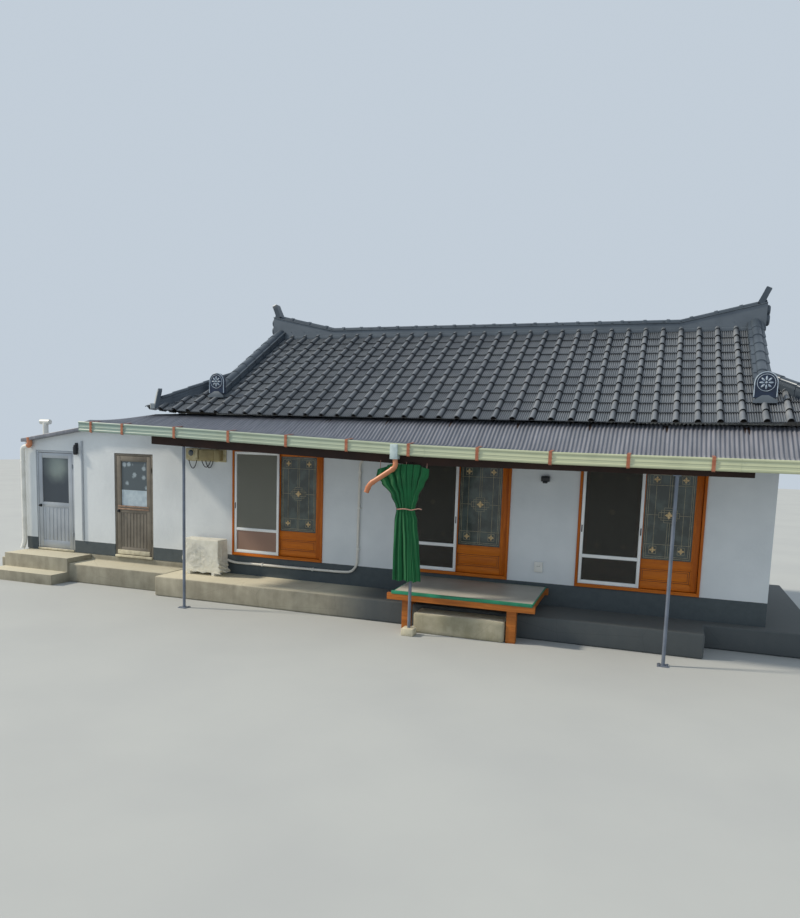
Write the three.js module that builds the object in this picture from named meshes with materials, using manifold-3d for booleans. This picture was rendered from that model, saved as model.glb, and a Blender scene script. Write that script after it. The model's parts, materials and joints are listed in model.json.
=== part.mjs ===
// Hanok house: a one-storey plastered timber house with a tiled hip-and-gable roof,
// a sheet awning on steel posts along its front, a side kitchen and a lean-to washroom.
// Millimetres, +Z up. The front faces -Y, and X runs to the right along the front.
// The origin is on the ground, under the middle of the house's front wall face.
import * as THREE from 'three';
import { mergeVertices } from 'three/addons/utils/BufferGeometryUtils.js';
import Module from 'manifold-3d';

const wasm = await Module();
wasm.setup();

// Driving dimensions
const gap = 0.3;                 // joint between pieces that touch
const run = 6;                   // clearance round a moving piece
const houseHalf = 4587;          // half the length of the main house
const houseDepth = 3720;
const wall = 200;                // wall thickness
const plinthTop = 350;
const floorTop = 700;            // floor of the main house
const kitchenFloor = 460;        // floor of the side rooms
const washLeft = -9070;          // left end of the washroom
const eaveOut = 900;             // roof overhang at the front and back
const sideOut = 786;             // roof overhang at the ends
const eaveZ = 3170;
const slope = 0.605;
const roofThick = 100;
const cornerLift = 75;           // how far the eave corners rise
const liftReach = 3000;          // length of eave over which they rise
const vergeX = 4270;             // the gable's edge, under the descending ridges
const gableX = 4120;             // outer face of the gable wall
const unitWidth = 1800;
const unitTop = 2620;
const unitLeft = [-4237, -978, 1878];
const postY = -1430;
const postX = [-4250, -320, 3232];
const kitchenRoofTop = 3000;
const slabThick = 140;
const backPaving = 300;          // width of the plinth behind the house

const ridgeY = houseDepth / 2;
const roofHalf = houseHalf + sideOut;
const ridgeZ = eaveZ + slope * (ridgeY + eaveOut);

// Materials
const paint = (color, roughness = 0.8, metalness = 0) =>
  new THREE.MeshStandardMaterial({ color, roughness, metalness });
const concrete = paint(0xa09a88, 0.95);
const plaster = paint(0xe8e9ec, 0.9);
const tile = paint(0x4b4e52, 0.55, 0.3);
const sheetMetal = paint(0x5a5960, 0.6, 0.4);
const gutterPaint = paint(0xb7c7b0, 0.5, 0.2);
const darkBrown = paint(0x2a120c, 0.5);
const steel = paint(0x6c7482, 0.45, 0.6);
const wood = paint(0xa3531b, 0.55);
const alu = paint(0xd6d8d8, 0.4, 0.5);
const greyDoor = paint(0x6b6259, 0.6);
const board = paint(0x8b8d86, 0.7);
const cover = paint(0xe4e2d8, 0.8);
const cloth = paint(0x0f5a34, 0.95);
const plastic = paint(0xd9d2b8, 0.6);
const copper = paint(0xb06a4a, 0.5, 0.3);

const part = new THREE.Group();

// Add one named solid
function add(name, geometry, material) {
  const mesh = new THREE.Mesh(geometry, material);
  mesh.name = name;
  part.add(mesh);
}

// A closed geometry as a manifold solid
function solid(geometry) {
  const bare = geometry.index ? geometry.toNonIndexed() : geometry.clone();
  bare.deleteAttribute('normal');
  bare.deleteAttribute('uv');
  const merged = mergeVertices(bare, 0.01);
  return new wasm.Manifold(new wasm.Mesh({
    numProp: 3,
    vertProperties: new Float32Array(merged.attributes.position.array),
    triVerts: new Uint32Array(merged.index.array),
  }));
}

// A manifold solid back as a geometry
function geometryOf(body) {
  const mesh = body.getMesh();
  const geometry = new THREE.BufferGeometry();
  geometry.setAttribute('position', new THREE.BufferAttribute(mesh.vertProperties.slice(), 3));
  geometry.setIndex(Array.from(mesh.triVerts));
  return geometry;
}

// A box between two corners
function box(x0, x1, y0, y1, z0, z1) {
  const geometry = new THREE.BoxGeometry(x1 - x0, y1 - y0, z1 - z0);
  return geometry.translate((x0 + x1) / 2, (y0 + y1) / 2, (z0 + z1) / 2);
}

function shapeOf(points) {
  return new THREE.Shape(points.map(([a, b]) => new THREE.Vector2(a, b)));
}

// A plan outline, extruded from z0 to z1
function planPrism(points, z0, z1) {
  const geometry = new THREE.ExtrudeGeometry(shapeOf(points), { depth: z1 - z0, bevelEnabled: false });
  return geometry.translate(0, 0, z0);
}

// An outline in X and Z, extruded from y0 to y1
function frontPrism(points, y0, y1) {
  const geometry = new THREE.ExtrudeGeometry(shapeOf(points), { depth: y1 - y0, bevelEnabled: false });
  return geometry.rotateX(Math.PI / 2).translate(0, y1, 0);
}

// An outline in Y and Z, extruded from x0 to x1
function sidePrism(points, x0, x1) {
  const geometry = new THREE.ExtrudeGeometry(shapeOf(points), { depth: x1 - x0, bevelEnabled: false });
  return geometry.rotateZ(Math.PI / 2).rotateY(Math.PI / 2).translate(x0, 0, 0);
}

// An upright cylinder
function post(x, y, radius, z0, z1, sides = 16) {
  const geometry = new THREE.CylinderGeometry(radius, radius, z1 - z0, sides);
  return geometry.rotateX(Math.PI / 2).translate(x, y, (z0 + z1) / 2);
}

// A closed skin over rings of points, each ring with the same number of points
function loft(rings) {
  const count = rings[0].length;
  const position = rings.flat(2);
  const index = [];
  for (let r = 0; r + 1 < rings.length; r += 1) {
    for (let i = 0; i < count; i += 1) {
      const a = r * count + i;
      const b = r * count + (i + 1) % count;
      index.push(a, b, b + count, a, b + count, a + count);
    }
  }
  const last = (rings.length - 1) * count;
  const flat = rings[0].map(([, u, v]) => new THREE.Vector2(u, v));
  const start = rings[0].every(([x]) => x === rings[0][0][0]);
  const ends = start ? THREE.ShapeUtils.triangulateShape(flat, []) : fan(count);
  for (const [a, b, c] of ends) {
    index.push(a, c, b, last + a, last + b, last + c);
  }
  const geometry = new THREE.BufferGeometry();
  geometry.setAttribute('position', new THREE.BufferAttribute(new Float32Array(position), 3));
  geometry.setIndex(index);
  return facingOut(geometry);
}

function fan(count) {
  return Array.from({ length: count - 2 }, (_, i) => [0, i + 1, i + 2]);
}

// Turn a closed skin's faces outwards
function facingOut(geometry) {
  const p = geometry.attributes.position;
  const index = Array.from(geometry.index.array);
  const [a, b, c] = [new THREE.Vector3(), new THREE.Vector3(), new THREE.Vector3()];
  let volume = 0;
  for (let i = 0; i < index.length; i += 3) {
    a.fromBufferAttribute(p, index[i]);
    b.fromBufferAttribute(p, index[i + 1]);
    c.fromBufferAttribute(p, index[i + 2]);
    volume += a.dot(b.cross(c));
  }
  if (volume < 0) {
    for (let i = 0; i < index.length; i += 3) {
      [index[i + 1], index[i + 2]] = [index[i + 2], index[i + 1]];
    }
    geometry.setIndex(index);
  }
  return geometry;
}

const join = (...shapes) => shapes.map(solid).reduce((sum, next) => sum.add(next));

// Height of the roof's top surface, d inwards from the eave line
function lift(x, y) {
  const corner = Math.hypot(roofHalf - Math.abs(x), Math.max(0, ridgeY + eaveOut - Math.abs(y - ridgeY)));
  return cornerLift * Math.max(0, 1 - corner / liftReach) ** 2;
}
const frontTop = (x, y) => eaveZ + slope * (ridgeY + eaveOut - Math.abs(y - ridgeY)) + lift(x, y);
const sideTop = (x, y) => eaveZ + slope * (roofHalf - Math.abs(x)) + lift(x, y);

// A plate over a grid of plan positions, with its top on a height function
function gridPlate(xs, ys, top, thick) {
  const position = [];
  const index = [];
  for (const under of [0, thick]) {
    for (const x of xs) {
      for (const y of ys) {
        position.push(x, y, top(x, y) - under);
      }
    }
  }
  const n = ys.length;
  const layer = xs.length * n;
  const quad = (a, b, c, d) => index.push(a, b, c, a, c, d);
  for (let i = 0; i + 1 < xs.length; i += 1) {
    for (let j = 0; j + 1 < n; j += 1) {
      const a = i * n + j;
      quad(a, a + n, a + n + 1, a + 1);
      quad(layer + a, layer + a + 1, layer + a + n + 1, layer + a + n);
    }
    const b = i * n;
    const e = b + n - 1;
    quad(layer + b, layer + b + n, b + n, b);
    quad(e, e + n, layer + e + n, layer + e);
  }
  for (let j = 0; j + 1 < n; j += 1) {
    const e = (xs.length - 1) * n + j;
    quad(layer + j + 1, layer + j, j, j + 1);
    quad(layer + e, layer + e + 1, e + 1, e);
  }
  const geometry = new THREE.BufferGeometry();
  geometry.setAttribute('position', new THREE.BufferAttribute(new Float32Array(position), 3));
  geometry.setIndex(index);
  return facingOut(geometry);
}

// Evenly spaced values from a to b
function spread(a, b, steps) {
  return Array.from({ length: steps + 1 }, (_, i) => a + (b - a) * i / steps);
}

// Roof plates, cut on the vertical planes of the hips, each edge moved out by grow
const hipRun = roofHalf - vergeX;
const sideEave = houseDepth + eaveOut;
const underVerge = -eaveOut + roofHalf - gableX + roofThick / slope + 40;
const [cutLow, cutHigh] = [2500, 6000];   // plan cuts reach through the whole roof
const frontGrid = solid(gridPlate(
  spread(-roofHalf, roofHalf, 20), spread(-eaveOut, ridgeY + 2, 5), frontTop, roofThick));
const sideGrid = solid(gridPlate(
  spread(gableX - 2, roofHalf, 4), spread(-eaveOut, sideEave, 14), sideTop, roofThick));
function roofPlates(grow) {
  const [x, y] = [vergeX + grow, -eaveOut + hipRun + grow];
  const front = frontGrid.intersect(solid(planPrism(
    [[-roofHalf - grow, -eaveOut], [roofHalf + grow, -eaveOut], [x, y], [x, ridgeY + grow],
      [-x, ridgeY + grow], [-x, y]], cutLow, cutHigh)));
  const back = front.mirror([0, 1, 0]).translate([0, houseDepth, 0]);
  const [inner, verge] = [gableX - grow, vergeX - grow];
  const half = [[roofHalf, -eaveOut - grow], [verge, -eaveOut + hipRun - grow], [verge, underVerge - grow],
    [inner, underVerge - grow]];
  const mirrored = half.map(([a, b]) => [a, houseDepth - b]).reverse();
  const right = sideGrid.intersect(solid(planPrism([...half, ...mirrored].reverse(), cutLow, cutHigh)));
  return [front, back, right, right.mirror([1, 0, 0])];
}
const plates = roofPlates(-gap);
const [frontPlate, backPlate, rightPlate, leftPlate] = plates;
const cutters = roofPlates(1);
const lessRoof = (body) => cutters.reduce(
  (rest, plate) => rest.subtract(plate).subtract(plate.translate([0, 0, gap])), body);
const underPlates = (body) => cutters.reduce(
  (rest, plate) => rest.subtract(plate).subtract(plate.translate([0, 0, -gap])), body);

const gableThick = 80;
function buildRoof() {
  add('front_roof', geometryOf(frontPlate), tile);
  add('back_roof', geometryOf(backPlate), tile);
  add('right_hip_roof', geometryOf(rightPlate), tile);
  add('left_hip_roof', geometryOf(leftPlate), tile);
  const gableBase = sideTop(gableX, ridgeY) - roofThick;
  const reach = (gableBase + roofThick - eaveZ) / slope - eaveOut;
  const outline = [[reach, gableBase], [houseDepth - reach, gableBase],
    [ridgeY, ridgeZ - roofThick - gap]];
  const gable = solid(sidePrism(outline, gableX - gableThick, gableX));
  const corner = cornerRidge();
  const flip = (body) => body.mirror([1, 0, 0]);
  const turn = (body) => body.mirror([0, 1, 0]).translate([0, houseDepth, 0]);
  add('right_gable', geometryOf(underPlates(gable)), plaster);
  add('left_gable', geometryOf(underPlates(flip(gable))), plaster);
  add('main_ridge', geometryOf(lessRoof(mainRidge())), tile);
  add('front_right_ridge', geometryOf(lessRoof(corner)), tile);
  add('front_left_ridge', geometryOf(lessRoof(flip(corner))), tile);
  add('back_right_ridge', geometryOf(lessRoof(turn(corner))), tile);
  add('back_left_ridge', geometryOf(lessRoof(flip(turn(corner)))), tile);
}

// Ridge cap with its ends swept up to a horn
const ridgeHalfWidth = 120;
const ridgeCap = 150;
const ridgeEnd = 4430;
const sweepStart = 3150;
const sweepRise = 260;
const hornTop = 5450;
function ridgeCapTop(x) {
  const t = Math.max(0, (Math.abs(x) - sweepStart) / (ridgeEnd - sweepStart));
  return ridgeZ + ridgeCap + sweepRise * t ** 1.5;
}
function mainRidge() {
  const tops = [0, 2000, sweepStart, 3500, 3800, 4100, ridgeEnd - 100].map((x) => [x, ridgeCapTop(x)]);
  const horn = [[ridgeEnd - 80, hornTop - 90], [ridgeEnd - 55, hornTop], [ridgeEnd + 50, hornTop - 20],
    [ridgeEnd + 20, hornTop - 190]];
  const face = [[ridgeEnd, ridgeZ + 330], [ridgeEnd, ridgeZ - 20], [vergeX + 40, ridgeZ - 60]];
  const half = [...tops, ...horn, ...face];
  const other = half.slice(1).map(([x, z]) => [-x, z]).reverse();
  return solid(frontPrism([...half, ...other], ridgeY - ridgeHalfWidth, ridgeY + ridgeHalfWidth));
}

// A ridge beam between two plan points, standing rise above the roof below it
function ridgeBeam(from, to, width, rise, deep) {
  const length = Math.hypot(to[0] - from[0], to[1] - from[1]);
  const outline = [[0, from[2] - deep], [length, to[2] - deep], [length, to[2] + rise], [0, from[2] + rise]];
  const beam = frontPrism(outline, -width / 2, width / 2);
  return beam.rotateZ(Math.atan2(to[1] - from[1], to[0] - from[0])).translate(from[0], from[1], 0);
}

// The descending ridge with its arched end plaque, and the hip ridge with its end tile
const descendY = -430;
const descendWidth = 220;
const descendRise = 190;
const hipWidth = 200;
const hipRise = 140;
const hipTopY = 150;
const hipTip = 90;               // how far the hip ridge stops short of the eave corner
const endTileRise = 310;
const endTileWidth = 230;
const ridgeSunk = 60;            // depth of a ridge below the slope's face
const plaqueHalf = 150;
const plaqueThick = 70;
const plaqueCentre = 280;        // above the slope's face
function plaqueShape(x, low, centre) {
  const arc = spread(0, Math.PI, 12).map(
    (a) => [x + plaqueHalf * Math.cos(a), centre + plaqueHalf * Math.sin(a)]);
  return [[x - plaqueHalf, low], [x + plaqueHalf, low], ...arc];
}
function cornerRidge() {
  const top = [vergeX, ridgeY - ridgeHalfWidth - gap, frontTop(vergeX, ridgeY - ridgeHalfWidth)];
  const low = [vergeX, descendY, frontTop(vergeX, descendY)];
  const hipTop = [vergeX + 60, hipTopY - 60, frontTop(vergeX, hipTopY) - 10];
  const hipLow = [roofHalf - hipTip, -eaveOut + hipTip, frontTop(roofHalf - hipTip, -eaveOut + hipTip)];
  const plaqueY = descendY + 15;
  const plaque = frontPrism(plaqueShape(vergeX, low[2] - 20, low[2] + plaqueCentre),
    plaqueY - plaqueThick / 2, plaqueY + plaqueThick / 2);
  const foot = box(vergeX - plaqueHalf, vergeX + plaqueHalf, descendY - 75, descendY + 60,
    low[2] - 40, low[2] + 110);
  const endTile = ridgeBeam([hipLow[0] - 45, hipLow[1] + 45, hipLow[2] + 20], hipLow,
    endTileWidth, endTileRise, ridgeSunk);
  return join(ridgeBeam(low, top, descendWidth, descendRise, ridgeSunk),
    ridgeBeam(hipLow, hipTop, hipWidth, hipRise, ridgeSunk), plaque, foot, endTile);
}

// Everything below the roof's underside, for cutting wall tops
function underRoof() {
  const low = eaveZ - roofThick - gap;
  const y0 = -eaveOut;
  const across = [[y0, 0], [sideEave, 0], [sideEave, low], [ridgeY, low + slope * (ridgeY - y0)], [y0, low]];
  const peak = low + slope * roofHalf;
  const along = [[-roofHalf, 0], [roofHalf, 0], [roofHalf, low], [0, peak], [-roofHalf, low]];
  return solid(sidePrism(across, -roofHalf, roofHalf)).intersect(
    solid(frontPrism(along, -eaveOut, sideEave)));
}
const attic = underRoof();
const tallWall = 4400;
const wallPiece = (geometry) => solid(geometry).intersect(attic);

// Plinths, steps and floors
const plinthLeft = -5270;
const plinthFront = -880;
const plinthNotchX = 3750;
const plinthRight = 5300;
const kitchenPlinthFront = -590;
const plinthNotchY = -220;
const stepX = [washLeft + 80, -7450];
const stepTread = [[450, -640], [190, -1040]];   // height and front edge of each tread
const stoneStep = { x: [-310, 1065], front: -1270, top: 310 };
function buildBase() {
  const back = houseDepth + backPaving;
  const main = [[plinthLeft, plinthFront], [plinthNotchX, plinthFront], [plinthNotchX, plinthNotchY],
    [plinthRight, plinthNotchY], [plinthRight, back], [plinthLeft, back]];
  add('main_plinth', planPrism(main, 0, plinthTop), concrete);
  const side = join(
    box(washLeft - 60, plinthLeft - gap, kitchenPlinthFront, back, 0, plinthTop),
    box(washLeft, plinthLeft - gap, 0, houseDepth, plinthTop - 1, kitchenFloor));
  add('kitchen_plinth', geometryOf(side), concrete);
  const y = kitchenPlinthFront - gap;
  const [[z1, y1], [z2, y2]] = stepTread;
  const step = [[y, 0], [y, plinthTop], [-gap, plinthTop], [-gap, z1], [y1, z1], [y1, z2], [y2, z2], [y2, 0]];
  const stair = solid(sidePrism(step, ...stepX)).subtract(
    solid(box(washLeft, stepX[1] + 100, kitchenPlinthFront - 1, back, 0, plinthTop + gap)));
  add('washroom_step', geometryOf(stair), concrete);
  add('stone_step', box(...stoneStep.x, stoneStep.front, plinthFront - gap, 0, stoneStep.top), concrete);
  const low = plinthTop + gap;
  const floor = [[plinthLeft, low], [houseHalf, low], [houseHalf, floorTop],
    [-houseHalf, floorTop], [-houseHalf, kitchenFloor], [plinthLeft, kitchenFloor]];
  add('house_floor', frontPrism(floor, 0, houseDepth), concrete);
}

// Doors of the side rooms: left edge, right edge and top of each opening
const doorTop = 2455;
const kitchenDoor = { name: 'kitchen_door', x0: -6867, x1: -5978 };
const washDoor = { name: 'washroom_door', x0: -8800, x1: -7850 };

// The washroom's roof sheet slopes down to the left
const washRoofHigh = 2933;
const washRoofLow = 2690;
const washRoofRight = -7535;
const washRoofLeft = -8960;
const washRoofThick = 70;
const roofFront = -120;
const roofBack = houseDepth + 80;
const roofSide = 100;            // how far it passes the left wall
const washRoofTop = (x) => washRoofLow
  + (washRoofHigh - washRoofLow) * (x - washRoofLeft) / (washRoofRight - washRoofLeft);
const washUnder = (x) => washRoofTop(x) - washRoofThick - gap;

function buildFrontWall() {
  const f = floorTop + gap;
  const ends = unitLeft.map((x) => [x, x + unitWidth]);
  for (let i = 0; i < 2; i += 1) {
    const pier = box(ends[i][1], ends[i + 1][0], 0, wall, f, unitTop);
    add(`front_pier_${i + 2}`, pier, plaster);
  }
  add('front_pier_4', box(ends[2][1], houseHalf, 0, wall, f, unitTop), plaster);
  const head = wallPiece(box(-houseHalf, houseHalf, 0, wall, unitTop + gap, tallWall));
  add('front_wall_head', geometryOf(head), plaster);
}

function buildSideRooms() {
  const f = kitchenFloor + gap;
  const slabUnder = kitchenRoofTop - slabThick - gap;
  const right = -houseHalf - gap;
  const pier = [[kitchenDoor.x1, f], [right, f], [right, floorTop + gap], [unitLeft[0], floorTop + gap],
    [unitLeft[0], unitTop], [right, unitTop], [right, slabUnder], [kitchenDoor.x1, slabUnder]];
  add('front_pier_1', frontPrism(pier, 0, wall), plaster);
  add('washroom_front_pier', box(washDoor.x1, kitchenDoor.x0, 0, wall, f, doorTop), plaster);
  const meetX = washRoofRight + gap;
  const roofLine = [[meetX, slabUnder], [meetX, washUnder(washRoofRight)], [washLeft, washUnder(washLeft)]];
  const head = [[washLeft, doorTop + gap], [kitchenDoor.x1 - gap, doorTop + gap],
    [kitchenDoor.x1 - gap, slabUnder], ...roofLine];
  add('side_wall_head', frontPrism(head, 0, wall), plaster);
  const [past, beyond] = [right + 100, washLeft - 100];
  const above = [[past, slabUnder], ...roofLine, [beyond, washUnder(beyond)], [beyond, tallWall],
    [past, tallWall]];
  const walls = join(
    box(washLeft, washDoor.x0, 0, wall + 1, f, doorTop),
    box(washLeft, washLeft + wall, wall + gap, houseDepth, f, tallWall),
    box(washLeft + wall - 1, right, houseDepth - wall, houseDepth, f, tallWall))
    .subtract(solid(frontPrism(above, -100, houseDepth + 100)));
  add('side_room_walls', geometryOf(walls), plaster);
  const slab = box(meetX, right, roofFront + 20, roofBack, kitchenRoofTop - slabThick, kitchenRoofTop);
  add('kitchen_roof', slab, concrete);
  const end = washRoofLeft - roofSide;
  const roof = [[end, washUnder(end) + gap], [washRoofRight, washUnder(washRoofRight) + gap],
    [washRoofRight, washRoofHigh], [end, washRoofTop(end)]];
  add('washroom_roof', frontPrism(roof, roofFront, roofBack), sheetMetal);
}

// Walls with a window hole: x0, x1 and z0, z1 of each hole
const backWindows = [[-2700, -1500], [1500, 2700]];
const windowZ = [1500, 2500];
const sideWindow = [1260, 2460];
function buildOuterWalls() {
  const f = floorTop + gap;
  const back = backWindows.reduce(
    (rest, [x0, x1]) => rest.subtract(solid(box(x0, x1, 0, 9000, ...windowZ))),
    wallPiece(box(-houseHalf, houseHalf, houseDepth - wall, houseDepth, f, tallWall)));
  add('back_wall', geometryOf(back), plaster);
  const y0 = wall + gap;
  const y1 = houseDepth - wall - gap;
  const right = wallPiece(box(houseHalf - wall, houseHalf, y0, y1, f, tallWall))
    .subtract(solid(box(0, 9000, ...sideWindow, ...windowZ)));
  add('right_wall', geometryOf(right), plaster);
  add('left_wall', geometryOf(wallPiece(box(-houseHalf, wall - houseHalf, y0, y1, f, tallWall))), plaster);
  backWindows.forEach(([x0, x1], i) => {
    const window = geometryOf(windowFrame(x1 - x0, windowZ[1] - windowZ[0]));
    window.rotateZ(Math.PI).translate((x0 + x1) / 2, houseDepth - wall / 2, windowZ[0]);
    add(`back_window_${i + 1}`, window, alu);
  });
  const side = geometryOf(windowFrame(sideWindow[1] - sideWindow[0], windowZ[1] - windowZ[0]));
  side.rotateZ(Math.PI / 2).translate(houseHalf - wall / 2, (sideWindow[0] + sideWindow[1]) / 2, windowZ[0]);
  add('right_window', side, alu);
}

// A two-light window, centred in X, its front towards -Y
const windowBar = 45;
const windowDeep = 60;
function windowFrame(width, height) {
  const w = width / 2 - gap;
  const bar = windowBar;
  const ring = solid(box(-w, w, -windowDeep, windowDeep, gap, height - gap))
    .subtract(solid(box(bar - w, w - bar, -80, 80, bar, height - bar)));
  const pane = box(bar - w - 1, w - bar + 1, -4, 4, bar - 1, height - bar + 1);
  const middle = box(-25, 25, -30, 30, bar - 1, height - bar + 1);
  return ring.add(solid(pane)).add(solid(middle));
}

// Sliding door unit: frame, fixed left leaf, outer screen, sliding right leaf
const jamb = 40;
const sill = 50;
const overlap = 45;
const unitY = [-25, 130];
const screenY = [-18, 8];
const leafY = [26, 56];
const fixedY = [74, 104];
// Widths of a leaf's stiles and rails, the height of its middle rail and its pane's thickness
const leafForm = { stile: 90, mid: 120, low: 95, midZ: 1210, pane: 8 };
const screenForm = { stile: 50, mid: 45, low: 60, midZ: 1225, pane: 4 };
const doorForm = { stile: 90, mid: 90, low: 144, midZ: 1370, pane: 24 };
function panelled(x0, x1, [y0, y1], z0, z1, { stile, mid, low, midZ, pane }) {
  const y = (y0 + y1) / 2;
  const [a, b, top] = [x0 + stile, x1 - stile, z1 - stile];
  const outer = solid(box(x0, x1, y0, y1, z0, z1));
  const upper = solid(box(a, b, y0 - 1, y1 + 1, midZ + mid / 2, top));
  const lower = solid(box(a, b, y0 - 1, y1 + 1, z0 + low, midZ - mid / 2));
  const light = solid(box(a - 1, b + 1, y - pane / 2, y + pane / 2, z0 + low - 1, top + 1));
  return outer.subtract(upper).subtract(lower).add(light);
}

function buildUnit(x0, n) {
  const x1 = x0 + unitWidth;
  const z0 = floorTop;
  const [y0, y1] = unitY;
  const ring = solid(box(x0 + gap, x1 - gap, y0, y1, z0 + gap, unitTop - gap)).subtract(
    solid(box(x0 + jamb, x1 - jamb, y0 - 1, y1 + 1, z0 + sill, unitTop - jamb)));
  const mid = (x0 + x1) / 2;
  const low = z0 + sill;
  const high = unitTop - jamb;
  const fixed = panelled(x0 + jamb - 1, mid + overlap, fixedY, low - 1, high + 1, leafForm);
  add(`unit_${n}_frame`, geometryOf(ring.add(fixed)), wood);
  // A sliding leaf between two edges, on a tongue that runs in the sill
  const slider = (a, b, track, form) => {
    const c = (track[0] + track[1]) / 2;
    const tongue = box(a + 60, b - 60, c - 4, c + 4, low + 0.4, low + run + 1);
    return geometryOf(panelled(a, b, track, low + run, high - run, form).add(solid(tongue)));
  };
  const [left, right] = [x0 + jamb + run, x1 - jamb - run];
  add(`unit_${n}_screen`, slider(left, mid + overlap, screenY, screenForm), alu);
  add(`unit_${n}_leaf`, slider(mid - overlap, right, leafY, leafForm), wood);
}

// A hinged door that opens outwards on its right edge
const doorJamb = 45;
const doorThick = 40;
const doorFace = 10;
const frameBack = 120;
const knuckle = 9;
const knuckleTall = 45;
const knob = { z: [1330, 1365], out: 45, wide: 35 };
function buildDoor({ name, x0, x1 }, material) {
  const top = doorTop;
  const z0 = kitchenFloor + gap;
  const sillZ = kitchenFloor + 45;
  const ring = solid(box(x0 + gap, x1 - gap, doorFace, frameBack, z0, top - gap)).subtract(
    solid(box(x0 + doorJamb, x1 - doorJamb, 0, frameBack + 80, sillZ, top - doorJamb)));
  const axisX = x1 - doorJamb - run / 2;
  const axisY = doorFace - knuckle;
  // Half a hinge: a knuckle with its wing, towards one side
  const hinge = (side, z) => {
    const [a, b] = side > 0 ? [axisX, axisX + 40] : [axisX - 40, axisX];
    return solid(post(axisX, axisY, knuckle, z, z + knuckleTall)).add(
      solid(box(a, b, axisY + 3, doorFace + 4, z, z + knuckleTall)));
  };
  const heights = [sillZ + 250, top - doorJamb - 300];
  add(`${name}_frame`, geometryOf(heights.reduce((sum, z) => sum.add(hinge(1, z)), ring)), material);
  const left = x0 + doorJamb + run;
  const right = x1 - doorJamb - run;
  const leaf = panelled(left, right, [doorFace, doorFace + doorThick], sillZ + run,
    top - doorJamb - run, doorForm);
  const pull = solid(box(left + 25, left + 25 + knob.wide, doorFace - knob.out, doorFace + 1, ...knob.z));
  const above = knuckleTall + gap;
  add(`${name}_leaf`, geometryOf(
    heights.reduce((sum, z) => sum.add(hinge(-1, z + above)), leaf.add(pull))), material);
}

// Awning over the front: its gutter's top edge falls from the left end
const awningLeft = -6200;
const awningRight = 5300;
const gutterLine = [[awningLeft, 3000], [-4230, 2941], [-200, 2788], [1750, 2751], [awningRight, 2742]];
const beamLine = [[-4840, 2705], [-4250, 2685], [-230, 2537], [1210, 2510], [4130, 2514]];
const gutterTall = 160;
const gutterY = [-1620, -1490];
const awningSlope = 0.155;
const sheetThick = 20;
const sheetFront = -1540;
const sheetBack = -750;          // its back edge at the hips
const wingRight = -5460;         // left of the tiled roof the sheet runs back to the wall line
const sheetInner = 4400;         // between the hips it runs back to the wall
const gutterSkin = 5;
const beamHalf = 50;
const postRadius = 24;
const postPlate = [75, 10];      // half width and height of a post's base
const postBlock = [95, 110];     // the same for the middle post's concrete block
function valueOn(line, x) {
  const i = Math.max(1, line.findIndex(([a]) => a >= x));
  const [[x0, z0], [x1, z1]] = [line[i - 1], line[i]];
  return z0 + (z1 - z0) * (x - x0) / (x1 - x0);
}
const gutterTop = (x) => valueOn(gutterLine, x);
const sheetUnder = (x, y) => gutterTop(x) - sheetThick + gap + awningSlope * (y - gutterY[1] + gutterSkin);

function buildAwning() {
  const xs = gutterLine.map(([x]) => x);
  const skin = gutterSkin;
  const [f, b] = gutterY;
  const channel = xs.map((x) => {
    const z = gutterTop(x);
    const low = z - gutterTall;
    return [[f, z], [f, low], [b, low], [b, z - sheetThick], [b - skin, z - sheetThick],
      [b - skin, low + skin], [f + skin, low + skin], [f + skin, z]].map(([y, h]) => [x, y, h]);
  });
  add('gutter', loft(channel), gutterPaint);
  const sheet = (stationsX, y0, y1) => solid(loft(stationsX.map((x) => {
    const [z0, z1] = [sheetUnder(x, y0), sheetUnder(x, y1)];
    return [[x, y0, z0], [x, y1, z1], [x, y1, z1 + sheetThick], [x, y0, z0 + sheetThick]];
  })));
  const wing = sheet([awningLeft, wingRight], sheetBack - 1, -gap);
  const innerLine = [-sheetInner, ...xs.filter((x) => Math.abs(x) < sheetInner), sheetInner];
  const inner = sheet(innerLine, sheetBack - 1, -gap);
  add('awning_sheet', geometryOf(sheet(xs, sheetFront, sheetBack).add(wing).add(inner)), sheetMetal);
  const stations = [...new Set([...beamLine, ...gutterLine].map(([x]) => x))]
    .filter((x) => x >= beamLine[0][0] && x <= beamLine.at(-1)[0]).sort((p, q) => p - q);
  const beam = stations.map((x) => {
    const low = valueOn(beamLine, x);
    const [y0, y1] = [postY - beamHalf, postY + beamHalf];
    return [[y0, low], [y1, low], [y1, sheetUnder(x, y0) - gap], [y0, sheetUnder(x, y0) - gap]]
      .map(([y, h]) => [x, y, h]);
  });
  add('awning_beam', loft(beam), darkBrown);
  postX.forEach((x, i) => {
    const r = postRadius;
    const top = Math.min(valueOn(beamLine, x - r), valueOn(beamLine, x + r)) - gap;
    const [half, tall] = i === 1 ? postBlock : postPlate;
    const base = box(x - half, x + half, postY - half, postY + half, 0, tall);
    const cap = box(x - r, x + r, postY - r, postY + r, top - 40, top);
    add(`awning_post_${i + 1}`, geometryOf(join(post(x, postY, r, 0, top - 20), base, cap)), steel);
  });
}

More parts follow.
